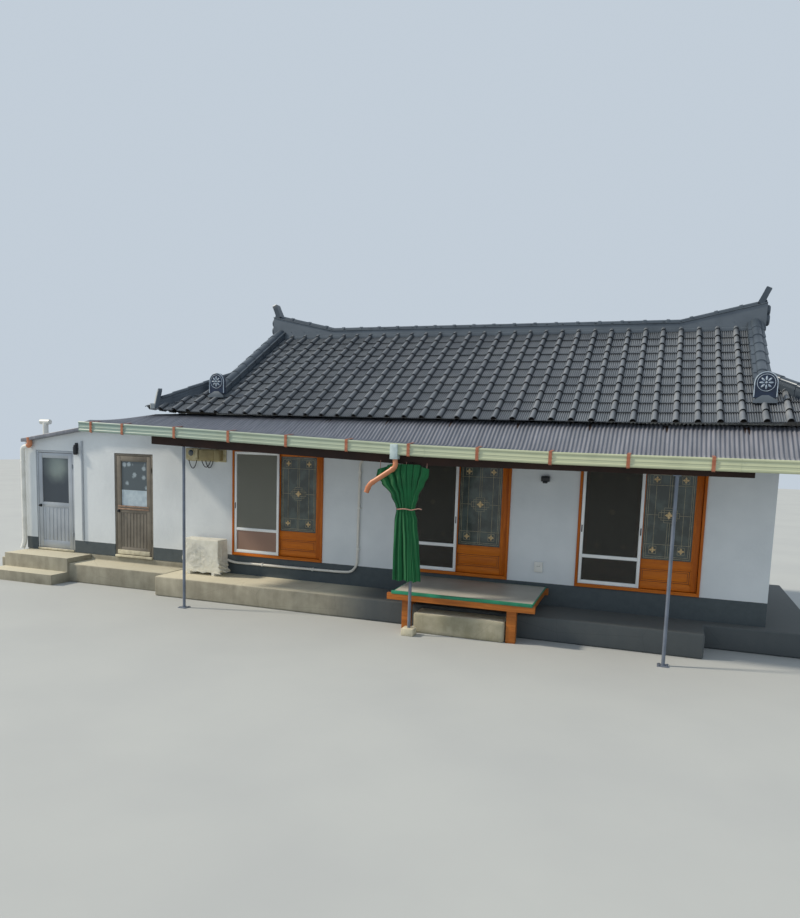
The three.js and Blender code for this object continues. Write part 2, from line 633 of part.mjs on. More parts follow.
// Deck bench in front of the middle door, its top falling gently to the front
const benchX = [-660, 1460];
const benchY = [-1300, -30];
const benchFrontTop = 595;
const benchBackTop = 648;
const benchBoard = 22;
const benchBeam = 95;
const benchRail = 60;
const legWide = 140;
const legX = [-505, 1085];
function buildBench() {
  const topAt = (y) => benchFrontTop
    + (benchBackTop - benchFrontTop) * (y - benchY[0]) / (benchY[1] - benchY[0]);
  const [f, b] = benchY;
  const deck = sidePrism(
    [[f, topAt(f) - benchBoard], [b, topAt(b) - benchBoard], [b, topAt(b)], [f, topAt(f)]], ...benchX);
  add('bench_top', deck, board);
  const under = (y, drop) => topAt(y) - benchBoard - gap - drop;
  const strip = (y0, y1, x0, x1) => sidePrism(
    [[y0, under(y0, benchBeam)], [y1, under(y1, benchBeam)], [y1, under(y1, 0)], [y0, under(y0, 0)]], x0, x1);
  const r = benchRail;
  const [x0, x1] = [benchX[0] - 70, benchX[1] + 35];
  const joists = [benchX[0] + 10, 380, benchX[1] - r - 10].map((x) => strip(f + 1, b - 1, x, x + r));
  add('bench_frame', geometryOf(join(strip(f, f + r, x0, x1), strip(b - r, b, x0, x1), ...joists)), wood);
  ['left', 'right'].forEach((name, i) => {
    const x = legX[i];
    const leg = (y0, y1, z) => sidePrism(
      [[y0, z], [y1, z], [y1, under(y1, benchBeam) - gap], [y0, under(y0, benchBeam) - gap]], x, x + legWide);
    const rail = box(x + 40, x + 40 + r, f + 140, b - 140, plinthTop + 20, plinthTop + 20 + r);
    const trestle = join(leg(f + 60, f + 150, 0), leg(b - 150, b - 60, plinthTop + gap), rail);
    add(`bench_trestle_${name}`, geometryOf(trestle), wood);
  });
}

// Covered cooling unit on the plinth
const cooler = { x: [-5020, -4270], y: [-420, -110], top: 1000, feet: 60 };
function buildCooler() {
  const low = plinthTop + cooler.feet;
  const body = box(...cooler.x, ...cooler.y, low, cooler.top);
  const foot = (x) => box(x - 30, x + 30, cooler.y[0] + 20, cooler.y[1] - 20, plinthTop + gap, low + 1);
  const feet = [cooler.x[0] + 100, cooler.x[1] - 150].map(foot);
  add('cooling_unit', geometryOf(join(body, ...feet)), cover);
}

// Meter boxes on the wall, over the cooling unit
function buildMeters() {
  const plate = box(-5180, -4390, -40, -gap, 2400, 2480);
  const left = box(-5165, -4905, -130, -20, 2385, 2610);
  const right = box(-4880, -4400, -120, -20, 2385, 2585);
  add('meter_boxes', geometryOf(join(plate, left, right)), plastic);
}

// Gathered shade cloth hung from the beam and tied at its waist beside the middle post
const curtainLoops = [-840, -420, -130];
const curtainY = postY - 72;
const curtainTop = 2420;
const loopHalf = 8;
// Height, middle, half width and half depth of the cloth, from the top down
const curtainForm = [[curtainTop, -480, 390, 24], [2250, -460, 320, 28], [2050, -430, 220, 36],
  [1865, -412, 140, 42], [1700, -400, 165, 44], [1300, -380, 195, 44], [800, -358, 206, 44]];
function buildCurtain() {
  const sides = 16;
  const rings = curtainForm.map(([z, x, half, deep]) => Array.from({ length: sides }, (_, i) => {
    const a = 2 * Math.PI * i / sides;
    return [x + half * Math.cos(a), curtainY + deep * Math.sin(a), z];
  }));
  const loops = curtainLoops.flatMap((x) => {
    const [x0, x1] = [x - loopHalf, x + loopHalf];
    const top = valueOn(beamLine, x) - gap;
    return [solid(box(x0, x1, curtainY + 23, curtainY + 31, curtainTop - 25, top)),
      solid(box(x0, x1, curtainY - 8, curtainY + 31, curtainTop - 35, curtainTop - 10))];
  });
  add('shade_curtain', geometryOf(loops.reduce((sum, loop) => sum.add(loop), solid(loft(rings)))), cloth);
}

// A round pipe between two points
const pipeRadius = 42;
const upright = new THREE.Vector3(0, 1, 0);
function pipe(from, to) {
  const [a, b] = [new THREE.Vector3(...from), new THREE.Vector3(...to)];
  const tube = new THREE.CylinderGeometry(pipeRadius, pipeRadius, a.distanceTo(b), 12);
  const turn = new THREE.Quaternion().setFromUnitVectors(upright, b.clone().sub(a).normalize());
  return tube.applyQuaternion(turn).translate(...a.add(b).multiplyScalar(0.5).toArray());
}

// Rain pipe from the gutter's outlet, with a free spout
const outletX = -570;
const outletY = -1572;
const collarHalf = 48;
function buildOutlet() {
  const under = (x) => gutterTop(x) - gutterTall - gap;
  const [x, y] = [outletX, outletY];
  const [x0, x1] = [x - collarHalf, x + collarHalf];
  const low = under(x) - 40;
  const elbow = [x + 30, y - 28, 2468];
  const bend = [-935, y - 36, 2205];
  const spout = [-980, y - 38, 2085];
  const collar = frontPrism([[x0, low], [x1, low], [x1, under(x1)], [x0, under(x0)]],
    y - collarHalf, y + collarHalf);
  const joints = [elbow, bend].map(
    (centre) => new THREE.SphereGeometry(pipeRadius, 12, 8).translate(...centre));
  const pipes = [pipe([x, y, low + 20], elbow), pipe(elbow, bend), pipe(bend, spout)];
  add('gutter_outlet', geometryOf(join(collar, ...pipes, ...joints)), copper);
}

buildBase();
buildFrontWall();
buildSideRooms();
buildOuterWalls();
unitLeft.forEach((x, i) => buildUnit(x, i + 1));
buildDoor(kitchenDoor, greyDoor);
buildDoor(washDoor, alu);
buildRoof();
buildAwning();
buildBench();
buildCooler();
buildMeters();
buildCurtain();
buildOutlet();

export default part;
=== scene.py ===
import json
import math

import bmesh
import bpy
from mathutils import Matrix, Vector, noise

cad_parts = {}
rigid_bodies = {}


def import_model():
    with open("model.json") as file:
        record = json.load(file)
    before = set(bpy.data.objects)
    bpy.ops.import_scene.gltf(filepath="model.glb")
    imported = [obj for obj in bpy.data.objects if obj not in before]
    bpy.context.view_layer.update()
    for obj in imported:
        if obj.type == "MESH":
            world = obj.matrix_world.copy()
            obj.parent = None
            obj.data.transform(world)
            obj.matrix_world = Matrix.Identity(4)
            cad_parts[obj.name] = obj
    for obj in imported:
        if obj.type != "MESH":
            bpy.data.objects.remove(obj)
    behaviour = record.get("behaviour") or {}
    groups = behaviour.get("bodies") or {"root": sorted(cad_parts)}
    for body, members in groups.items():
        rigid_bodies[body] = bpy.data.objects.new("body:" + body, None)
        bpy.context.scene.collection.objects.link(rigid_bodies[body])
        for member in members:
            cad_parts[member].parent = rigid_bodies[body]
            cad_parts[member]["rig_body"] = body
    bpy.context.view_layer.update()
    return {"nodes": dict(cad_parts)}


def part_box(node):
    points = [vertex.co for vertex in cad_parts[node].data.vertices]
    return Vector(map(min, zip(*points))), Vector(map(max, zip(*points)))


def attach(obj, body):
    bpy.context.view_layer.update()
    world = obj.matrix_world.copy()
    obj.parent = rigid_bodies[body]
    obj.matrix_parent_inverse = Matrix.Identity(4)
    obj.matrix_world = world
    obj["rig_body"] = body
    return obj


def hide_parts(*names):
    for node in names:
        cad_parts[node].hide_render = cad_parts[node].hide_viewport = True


# Looks of a one-storey hanok house: a tiled hip-and-gable roof, a corrugated awning on
# steel posts, a side kitchen and a lean-to washroom. Metres, +Z up, the front towards -Y.
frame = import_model()
scene = bpy.context.scene

# Camera, worked out from the house's own lines
PHOTO_HEIGHT = 918
FOCAL_PX = 739
CENTRE_ROW = 533.5           # pixel row that the lens looks straight at
EYE = Vector((3.0834, -11.5456, 2.7925))
YAW, PITCH, ROLL = 0.340792, 0.120132, -0.0316807

# Roof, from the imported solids
EAVE_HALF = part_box("right_hip_roof")[1].x
EAVE_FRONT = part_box("front_roof")[0].y
EAVE_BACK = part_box("back_roof")[1].y
RIDGE_Y = (EAVE_FRONT + EAVE_BACK) / 2
ROOF_DEPTH = RIDGE_Y - EAVE_FRONT
EAVE_Z = 3.17
SLOPE = 0.605
TILT = math.atan(SLOPE)
RIDGE_Z = EAVE_Z + SLOPE * ROOF_DEPTH
VERGE_X = 4.27
GABLE_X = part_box("right_gable")[1].x
HIP_TOP_Y = EAVE_FRONT + EAVE_HALF - VERGE_X
CORNER_LIFT = 0.075
LIFT_REACH = 3.0

# Tiles
TILE_PITCH = 0.2755
TILE_COURSE = 0.279
TILE_STEP = 0.018            # how far a course's lower edge stands over the next
ROLL_HALF = 0.043
ROLL_TALL = 0.054
PRESSING_SIZE = (TILE_PITCH * 4, TILE_COURSE * 0.8556, 4.0)     # one steel sheet: four tiles wide

# Awning
GUTTER_LINE = [(-6.2, 3.0), (-4.23, 2.941), (-0.2, 2.788), (1.75, 2.751), (5.3, 2.742)]
GUTTER_FRONT, GUTTER_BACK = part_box("gutter")[0].y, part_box("gutter")[1].y
GUTTER_TALL = 0.16
SHEET_THICK = 0.02
SHEET_FRONT, SHEET_KNEE, SHEET_BACK = -1.54, -1.35, -0.02
SHEET_TUCK = [(-0.84, 3.15), (0.0, 3.2)]     # its underside from under the eave back to the wall
WAVE_PITCH = 0.056
BEAM_LINE = [(-4.84, 2.705), (-4.25, 2.685), (-0.23, 2.537), (1.21, 2.51), (4.13, 2.514)]
BEAM_DEEPER = 0.035          # a batten under the beam's left part
BATTEN_END, BATTEN_FADE = 1.2, 1.2
RAFTER_X = (-4.9, -3.95, -2.95, -1.95, -0.95, 0.05, 1.05, 2.05, 3.05, 4.05)
GUTTER_JOINTS = (-0.12, 3.95)
STRAP_X = [-5.94, -5.306, -4.296, -3.303, -2.3, -1.309, -0.353, 0.644, 1.638, 2.63, 3.641]

# Walls
SKIRTING_TOP = 0.70
PLINTH_TOP = 0.35

GAP = 0.0003                 # between solids that touch on the real house
LAP = 0.001                  # how far a rail or a pane runs into its frame


def wire(node, inputs):
    """Set or link the node's inputs by name or number."""
    for name, value in inputs.items():
        socket = node.inputs[name]
        if isinstance(value, bpy.types.NodeSocket):
            node.id_data.links.new(value, socket)
        else:
            socket.default_value = value
    return node


def add(tree, kind, inputs=None, **settings):
    """One node with its settings and links."""
    node = tree.nodes.new(kind)
    for name, value in settings.items():
        setattr(node, name, value)
    return wire(node, inputs or {})


def colour(hex_code):
    """An sRGB hex colour as linear RGBA."""
    channels = [int(hex_code[i:i + 2], 16) / 255 for i in (1, 3, 5)]
    linear = [c / 12.92 if c <= 0.04045 else ((c + 0.055) / 1.055) ** 2.4 for c in channels]
    return linear + [1.0]


# Camera, light and floor


def make_camera():
    forward = Vector((-math.sin(YAW) * math.cos(PITCH), math.cos(YAW) * math.cos(PITCH), -math.sin(PITCH)))
    level = Vector((math.cos(YAW), math.sin(YAW), 0))
    down = forward.cross(level)
    right = math.cos(ROLL) * level + math.sin(ROLL) * down
    up = math.sin(ROLL) * level - math.cos(ROLL) * down
    data = bpy.data.cameras.new("camera")
    data.sensor_width = 36
    data.lens = FOCAL_PX * data.sensor_width / PHOTO_HEIGHT
    data.shift_y = (CENTRE_ROW - PHOTO_HEIGHT / 2) / PHOTO_HEIGHT
    camera = bpy.data.objects.new("camera", data)
    turn = Matrix((right, up, -forward)).transposed()
    camera.matrix_world = Matrix.Translation(EYE) @ turn.to_4x4()
    scene.collection.objects.link(camera)
    scene.camera = camera


def make_light():
    sun_from = Vector((-0.74, -0.2, 0.64))       # the left, a little before the front, 40 degrees up
    data = bpy.data.lights.new("sun", "SUN")
    data.energy = 3.1
    data.angle = math.radians(5)
    data.color = colour("#fff3df")[:3]
    sun = bpy.data.objects.new("sun", data)
    sun.rotation_mode = "QUATERNION"
    sun.rotation_quaternion = (-sun_from).to_track_quat("-Z", "Y")
    scene.collection.objects.link(sun)
    world = bpy.data.worlds.new("studio")
    world.use_nodes = True
    wire(world.node_tree.nodes["Background"], {"Color": colour("#d7e3ef"), "Strength": 0.8})
    scene.world = world
    scene.view_settings.view_transform = "Standard"


def make_floor():
    shape = bmesh.new()
    bmesh.ops.create_grid(shape, x_segments=1, y_segments=1, size=60)
    mesh = bpy.data.meshes.new("studio_floor")
    shape.to_mesh(mesh)
    shape.free()
    floor = bpy.data.objects.new("studio_floor", mesh)
    scene.collection.objects.link(floor)
    mesh.materials.append(coat("studio_floor", "#b3b6b5", "#aeb1b1", 2.0, 0.02, 0.0, 0.9))


# Materials


def surface(name, roughness, metallic=0.0):
    """A new material with its tree, its shader and its Object coordinates."""
    material = bpy.data.materials.new(name)
    material.use_nodes = True
    tree = material.node_tree
    shader = wire(tree.nodes["Principled BSDF"], {"Roughness": roughness, "Metallic": metallic})
    place = add(tree, "ShaderNodeTexCoord").outputs["Object"]
    return material, tree, shader, place


def clouded(tree, noise_inputs, span, light, dark, most=1.0):
    """A noise's colour: two tones shared out over a span of its values."""
    cloud = add(tree, "ShaderNodeTexNoise", noise_inputs)
    share = add(tree, "ShaderNodeMapRange", {"Value": cloud.outputs[0], "From Min": span[0],
                                             "From Max": span[1], "To Max": most})
    tone = add(tree, "ShaderNodeMix", {0: share.outputs[0], 6: light, 7: dark}, data_type="RGBA")
    return tone.outputs[2]


def grained(tree, noise_inputs, depth):
    """The bump of a noise, its depth in metres."""
    grain = add(tree, "ShaderNodeTexNoise", noise_inputs)
    return add(tree, "ShaderNodeBump", {"Height": grain.outputs[0], "Distance": depth}).outputs[0]


def coat(name, main, patch, patch_size, grain_size, depth, roughness, metallic=0.0):
    """A paint, plastic or metal with patches of a second tone and a fine grain of one depth."""
    material, tree, shader, place = surface(name, roughness, metallic)
    patches = {"Vector": place, "Scale": 1 / patch_size, "Detail": 5.0}
    grain = {"Vector": place, "Scale": 1 / grain_size, "Detail": 3.0}
    wire(shader, {"Base Color": clouded(tree, patches, (0.38, 0.66), colour(main), colour(patch)),
                  "Normal": grained(tree, grain, depth)})
    return material


def tile_coat():
    """Stone-grey matt coat: pressings differ a little, under clouds of dust, with painted shade on the rolls'
    right sides, in the pans' hollows and on each course's lip.
    """
    material, tree, shader, place = surface("matt_coated_steel_tile", 0.34, 0.2)
    cell = add(tree, "ShaderNodeVectorMath", {0: place, 1: PRESSING_SIZE}, operation="SNAP")
    odd = add(tree, "ShaderNodeTexWhiteNoise", {"Vector": cell.outputs[0]})
    first = add(tree, "ShaderNodeMix", {0: odd.outputs["Value"], 6: colour("#868c93"), 7: colour("#959ba2")},
                data_type="RGBA")
    dust = {"Vector": place, "Scale": 3.0, "Detail": 6.0}
    dusty = clouded(tree, dust, (0.45, 0.8), first.outputs[2], colour("#aaaeb2"))
    # painted shade: where that share is low the tile's tone gives way to dark grey, on the rolls' right
    # sides, in the pans' hollows and on each course's lip
    unshaded_node = add(tree, "ShaderNodeAttribute", attribute_name="washed")
    painted_lee_shade = add(tree, "ShaderNodeMix", {0: unshaded_node.outputs["Fac"], 6: colour("#3d4248"), 7: dusty},
                data_type="RGBA")
    grit = {"Vector": place, "Scale": 220.0, "Detail": 2.0}
    wire(shader, {"Base Color": painted_lee_shade.outputs[2], "Normal": grained(tree, grit, 0.0008)})
    return material


def sheet_coat():
    """Painted corrugated steel with faint rain streaks down the slope."""
    material, tree, shader, place = surface("painted_corrugated_steel", 0.45, 0.25)
    drawn_out = add(tree, "ShaderNodeMapping", {"Vector": place, "Scale": (9.0, 0.8, 1.0)})
    streaks = {"Vector": drawn_out.outputs[0], "Scale": 2.0, "Detail": 5.0}
    wire(shader, {"Base Color": clouded(tree, streaks, (0.4, 0.7), colour("#767982"), colour("#8b8d96")),
                  "Normal": grained(tree, {"Vector": place, "Scale": 90.0}, 0.0004)})
    return material


def gutter_paint():
    """Satin paint, creamy along the gutter, with painted shade making it darker and bluish at its left end,
    and faint grime.
    """
    material, tree, shader, place = surface("satin_gutter_paint", 0.4)
    across = add(tree, "ShaderNodeSeparateXYZ", {"Vector": place})
    # painted shade: darker and bluish towards the left end, blending from x -5.5 to 1.5
    share = add(tree, "ShaderNodeMapRange", {"Value": across.outputs["X"], "From Min": -5.5, "From Max": 1.5})
    left_shade_blend = add(tree, "ShaderNodeMix", {0: share.outputs[0], 6: colour("#8fa49b"), 7: colour("#bdc3a3")},
                data_type="RGBA")
    grime = {"Vector": place, "Scale": 3.0, "Detail": 7.0}
    wire(shader, {"Base Color": clouded(tree, grime, (0.5, 0.8), left_shade_blend.outputs[2], colour("#8e957c"), 0.35),
                  "Normal": grained(tree, grime, 0.0006)})
    return material


def plaster():
    """Trowelled lime plaster under white paint, with a painted slate band at the foot of the wall."""
    material, tree, shader, place = surface("painted_plaster", 0.85)
    cloud = {"Vector": place, "Scale": 1.3, "Detail": 6.0}
    white = clouded(tree, cloud, (0.35, 0.75), colour("#dde2e5"), colour("#ced4d8"))
    worn_off = add(tree, "ShaderNodeTexNoise", {"Vector": place, "Scale": 7.0, "Detail": 8.0,
                                                "Roughness": 0.7})
    slate = add(tree, "ShaderNodeMix", {0: worn_off.outputs[0], 6: colour("#3f474b"), 7: colour("#5a6367")},
                data_type="RGBA")
    height = add(tree, "ShaderNodeSeparateXYZ", {"Vector": place})
    wobble = add(tree, "ShaderNodeMath", {0: worn_off.outputs[0], 1: 0.012, 2: height.outputs["Z"]},
                 operation="MULTIPLY_ADD")
    above = add(tree, "ShaderNodeMapRange", {"Value": wobble.outputs[0], "From Min": SKIRTING_TOP + 0.003,
                                             "From Max": SKIRTING_TOP + 0.007})
    tone = add(tree, "ShaderNodeMix", {0: above.outputs[0], 6: slate.outputs[2], 7: white},
               data_type="RGBA")
    trowel = {"Vector": place, "Scale": 14.0, "Detail": 7.0}
    wire(shader, {"Base Color": tone.outputs[2], "Normal": grained(tree, trowel, 0.004)})
    return material


def concrete(name, light, dark, streaks, grit_depth, right_shade=0.0):
    """Cement render: clouded, pitted, streaked by rain, with its up-facing faces painted paler as light and
    its right end painted dark as shade.
    """
    material, tree, shader, place = surface(name, 0.9)
    cloud = add(tree, "ShaderNodeTexNoise", {"Vector": place, "Scale": 2.2, "Detail": 8.0, "Roughness": 0.65})
    down = add(tree, "ShaderNodeMapping", {"Vector": place, "Scale": (5.0, 5.0, 0.7)})
    run = add(tree, "ShaderNodeTexNoise", {"Vector": down.outputs[0], "Scale": 1.6, "Detail": 6.0})
    mean = add(tree, "ShaderNodeMix", {0: streaks, 2: cloud.outputs[0], 3: run.outputs[0]})
    share = add(tree, "ShaderNodeMapRange", {"Value": mean.outputs[0], "From Min": 0.36, "From Max": 0.62})
    aged = add(tree, "ShaderNodeMix", {0: share.outputs[0], 6: colour(light), 7: colour(dark)},
               data_type="RGBA")
    # painted shade: the render darkens to slate towards the right end, from x -2.2 to -1.1, by the given
    # share
    across = add(tree, "ShaderNodeSeparateXYZ", {"Vector": place})
    right_shade_share = add(tree, "ShaderNodeMapRange", {"Value": across.outputs["X"], "From Min": -2.2,
                                            "From Max": -1.1, "To Max": right_shade},
               interpolation_type="SMOOTHSTEP")
    # painted light: faces that look up are painted paler, as if sunlit
    face = add(tree, "ShaderNodeNewGeometry")
    facing = add(tree, "ShaderNodeSeparateXYZ", {"Vector": face.outputs["Normal"]})
    level = add(tree, "ShaderNodeMapRange", {"Value": facing.outputs["Z"], "From Min": 0.5, "To Max": 0.75})
    painted_lit_tops = add(tree, "ShaderNodeMix", {0: level.outputs[0], 6: aged.outputs[2], 7: colour("#d2ccb6")},
                  data_type="RGBA")
    tone = add(tree, "ShaderNodeMix", {0: right_shade_share.outputs[0], 6: painted_lit_tops.outputs[2], 7: colour("#464e54")},
               data_type="RGBA")
    cracks = add(tree, "ShaderNodeTexVoronoi", {"Vector": place, "Scale": 0.9}, feature="DISTANCE_TO_EDGE")
    line = add(tree, "ShaderNodeMapRange", {"Value": cracks.outputs["Distance"], "From Max": 0.004,
                                            "To Min": 0.8, "To Max": 1.0})
    lined = add(tree, "ShaderNodeMix", {0: 1.0, 6: tone.outputs[2], 7: line.outputs[0]}, data_type="RGBA",
                blend_type="MULTIPLY")
    sand = {"Vector": place, "Scale": 55.0, "Detail": 8.0, "Roughness": 0.7}
    wire(shader, {"Base Color": lined.outputs[2], "Normal": grained(tree, sand, grit_depth)})
    return material


def timber(name, light, dark, stretch):
    """Varnished softwood: grain in long bands along the piece, under a satin varnish."""
    material, tree, shader, place = surface(name, 0.5)
    along = add(tree, "ShaderNodeMapping", {"Vector": place, "Scale": stretch})
    bend = add(tree, "ShaderNodeTexNoise", {"Vector": along.outputs[0], "Scale": 1.0, "Detail": 4.0,
                                            "Distortion": 0.6})
    fine = add(tree, "ShaderNodeTexNoise", {"Vector": along.outputs[0], "Scale": 5.0, "Detail": 6.0})
    both = add(tree, "ShaderNodeMix", {0: 0.4, 2: bend.outputs[0], 3: fine.outputs[0]})
    share = add(tree, "ShaderNodeMapRange", {"Value": both.outputs[0], "From Min": 0.36, "From Max": 0.64})
    tone = add(tree, "ShaderNodeMix", {0: share.outputs[0], 6: colour(light), 7: colour(dark)},
               data_type="RGBA")
    bump = add(tree, "ShaderNodeBump", {"Height": fine.outputs[0], "Distance": 0.0006})
    wire(shader, {"Base Color": tone.outputs[2], "Normal": bump.outputs[0], "Coat Weight": 0.06,
                  "Coat Roughness": 0.25, "Specular IOR Level": 0.25})
    return material


def insect_mesh(name, thread_colour, cover):
    """Woven fibreglass mesh over a dim room. Its 1.2 mm threads are drawn 6 mm apart, so that they show."""
    material, tree, shader, place = surface(name, 0.7)
    weave = []
    for direction in ("X", "Z"):
        wave = add(tree, "ShaderNodeTexWave", {"Vector": place, "Scale": 50.0}, bands_direction=direction)
        weave.append(wave.outputs["Fac"])
    thread = add(tree, "ShaderNodeMath", {0: weave[0], 1: weave[1]}, operation="MAXIMUM")
    share = add(tree, "ShaderNodeMapRange", {"Value": thread.outputs[0], "To Min": cover - 0.3,
                                             "To Max": cover})
    wire(shader, {"Base Color": colour(thread_colour), "Alpha": share.outputs[0]})
    return material


def glass(name, tint, spot, spot_size, roughness):
    """Patterned pane before a dark room: clouded in two tones, with a smooth sheen."""
    material, tree, shader, place = surface(name, roughness)
    cloud = {"Vector": place, "Scale": 1 / spot_size, "Detail": 3.0}
    ripple = add(tree, "ShaderNodeTexVoronoi", {"Vector": place, "Scale": 70.0})
    bump = add(tree, "ShaderNodeBump", {"Height": ripple.outputs["Distance"], "Distance": 0.0006})
    wire(shader, {"Base Color": clouded(tree, cloud, (0.42, 0.62), colour(tint), colour(spot)),
                  "Normal": bump.outputs[0], "Coat Weight": 0.5, "Coat Roughness": 0.08})
    return material


def glow_glass():
    """Frosted pane with a soft glow from the room's far window, fading to slate at its edges."""
    material, tree, shader, place = surface("glowing_frosted_glass", 0.25)
    glow_at = (-8.3, 0.03, 2.16)
    reach = add(tree, "ShaderNodeVectorMath", {0: place, 1: glow_at}, operation="DISTANCE")
    cloud = add(tree, "ShaderNodeTexNoise", {"Vector": place, "Scale": 5.0, "Detail": 3.0})
    soft = add(tree, "ShaderNodeMath", {0: cloud.outputs[0], 1: 0.15, 2: reach.outputs["Value"]},
               operation="MULTIPLY_ADD")
    share = add(tree, "ShaderNodeMapRange", {"Value": soft.outputs[0], "From Min": 0.12, "From Max": 0.5},
                interpolation_type="SMOOTHSTEP")
    tone = add(tree, "ShaderNodeMix", {0: share.outputs[0], 6: colour("#7f8c8a"), 7: colour("#313c47")},
               data_type="RGBA")
    wire(shader, {"Base Color": tone.outputs[2], "Coat Weight": 0.3, "Coat Roughness": 0.1})
    return material


def flowered_film():
    """Clear film with pale blossoms stuck on a dark pane."""
    material, tree, shader, place = surface("flowered_window_film", 0.3)
    spots = add(tree, "ShaderNodeTexVoronoi", {"Vector": place, "Scale": 7.0, "Randomness": 0.9})
    petal = add(tree, "ShaderNodeTexNoise", {"Vector": place, "Scale": 40.0, "Detail": 2.0})
    ragged = add(tree, "ShaderNodeMath", {0: petal.outputs[0], 1: 0.35, 2: spots.outputs["Distance"]},
                 operation="MULTIPLY_ADD")
    share = add(tree, "ShaderNodeMapRange", {"Value": ragged.outputs[0], "From Min": 0.40, "From Max": 0.56,
                                             "To Min": 0.75, "To Max": 0.0})
    tone = add(tree, "ShaderNodeMix", {0: share.outputs[0], 6: colour("#4a565d"), 7: colour("#a9b8c1")},
               data_type="RGBA")
    wire(shader, {"Base Color": tone.outputs[2], "Coat Weight": 0.5, "Coat Roughness": 0.08})
    return material


def net_cloth():
    """Woven green shade net: 4 mm tapes drawn 8 mm apart so that they show, with a soft sheen."""
    material, tree, shader, place = surface("woven_shade_net", 0.8)
    wave = add(tree, "ShaderNodeTexWave", {"Vector": place, "Scale": 40.0, "Distortion": 0.6},
               bands_direction="Z")
    cloud = add(tree, "ShaderNodeTexNoise", {"Vector": place, "Scale": 6.0, "Detail": 5.0})
    mean = add(tree, "ShaderNodeMix", {0: 0.5, 2: wave.outputs["Fac"], 3: cloud.outputs[0]})
    tone = add(tree, "ShaderNodeMix", {0: mean.outputs[0], 6: colour("#064625"), 7: colour("#157a44")},
               data_type="RGBA")
    bump = add(tree, "ShaderNodeBump", {"Height": wave.outputs["Fac"], "Distance": 0.0015})
    wire(shader, {"Base Color": tone.outputs[2], "Normal": bump.outputs[0], "Sheen Weight": 0.12,
                  "Sheen Roughness": 0.4})
    return material


def cover_film():
    """Creased translucent vinyl over the cooling unit, milky with dust."""
    material, tree, shader, place = surface("milky_vinyl_film", 0.42)
    cloud = add(tree, "ShaderNodeTexNoise", {"Vector": place, "Scale": 9.0, "Detail": 7.0})
    tone = add(tree, "ShaderNodeMix", {0: cloud.outputs[0], 6: colour("#fffef6"), 7: colour("#e2dfcd")},
               data_type="RGBA")
    crease = add(tree, "ShaderNodeTexNoise", {"Vector": place, "Scale": 26.0, "Detail": 5.0,
                                              "Distortion": 1.2})
    bump = add(tree, "ShaderNodeBump", {"Height": crease.outputs[0], "Distance": 0.01})
    wire(shader, {"Base Color": tone.outputs[2], "Normal": bump.outputs[0], "Alpha": 0.68})
    return material


def wound_tape():
    """White vinyl tape wound round a pipe, each turn lapping the last."""
    material, tree, shader, place = surface("wound_vinyl_tape", 0.4)
    slant = add(tree, "ShaderNodeMapping", {"Vector": place, "Rotation": (0.0, 0.5, 0.4)})
    wave = add(tree, "ShaderNodeTexWave", {"Vector": slant.outputs[0], "Scale": 7.0}, wave_profile="SAW")
    dirt = add(tree, "ShaderNodeTexNoise", {"Vector": place, "Scale": 12.0, "Detail": 4.0})
    tone = add(tree, "ShaderNodeMix", {0: dirt.outputs[0], 6: colour("#eceae3"), 7: colour("#cfccc2")},
               data_type="RGBA")
    bump = add(tree, "ShaderNodeBump", {"Height": wave.outputs["Fac"], "Distance": 0.003})
    wire(shader, {"Base Color": tone.outputs[2], "Normal": bump.outputs[0]})
    return material


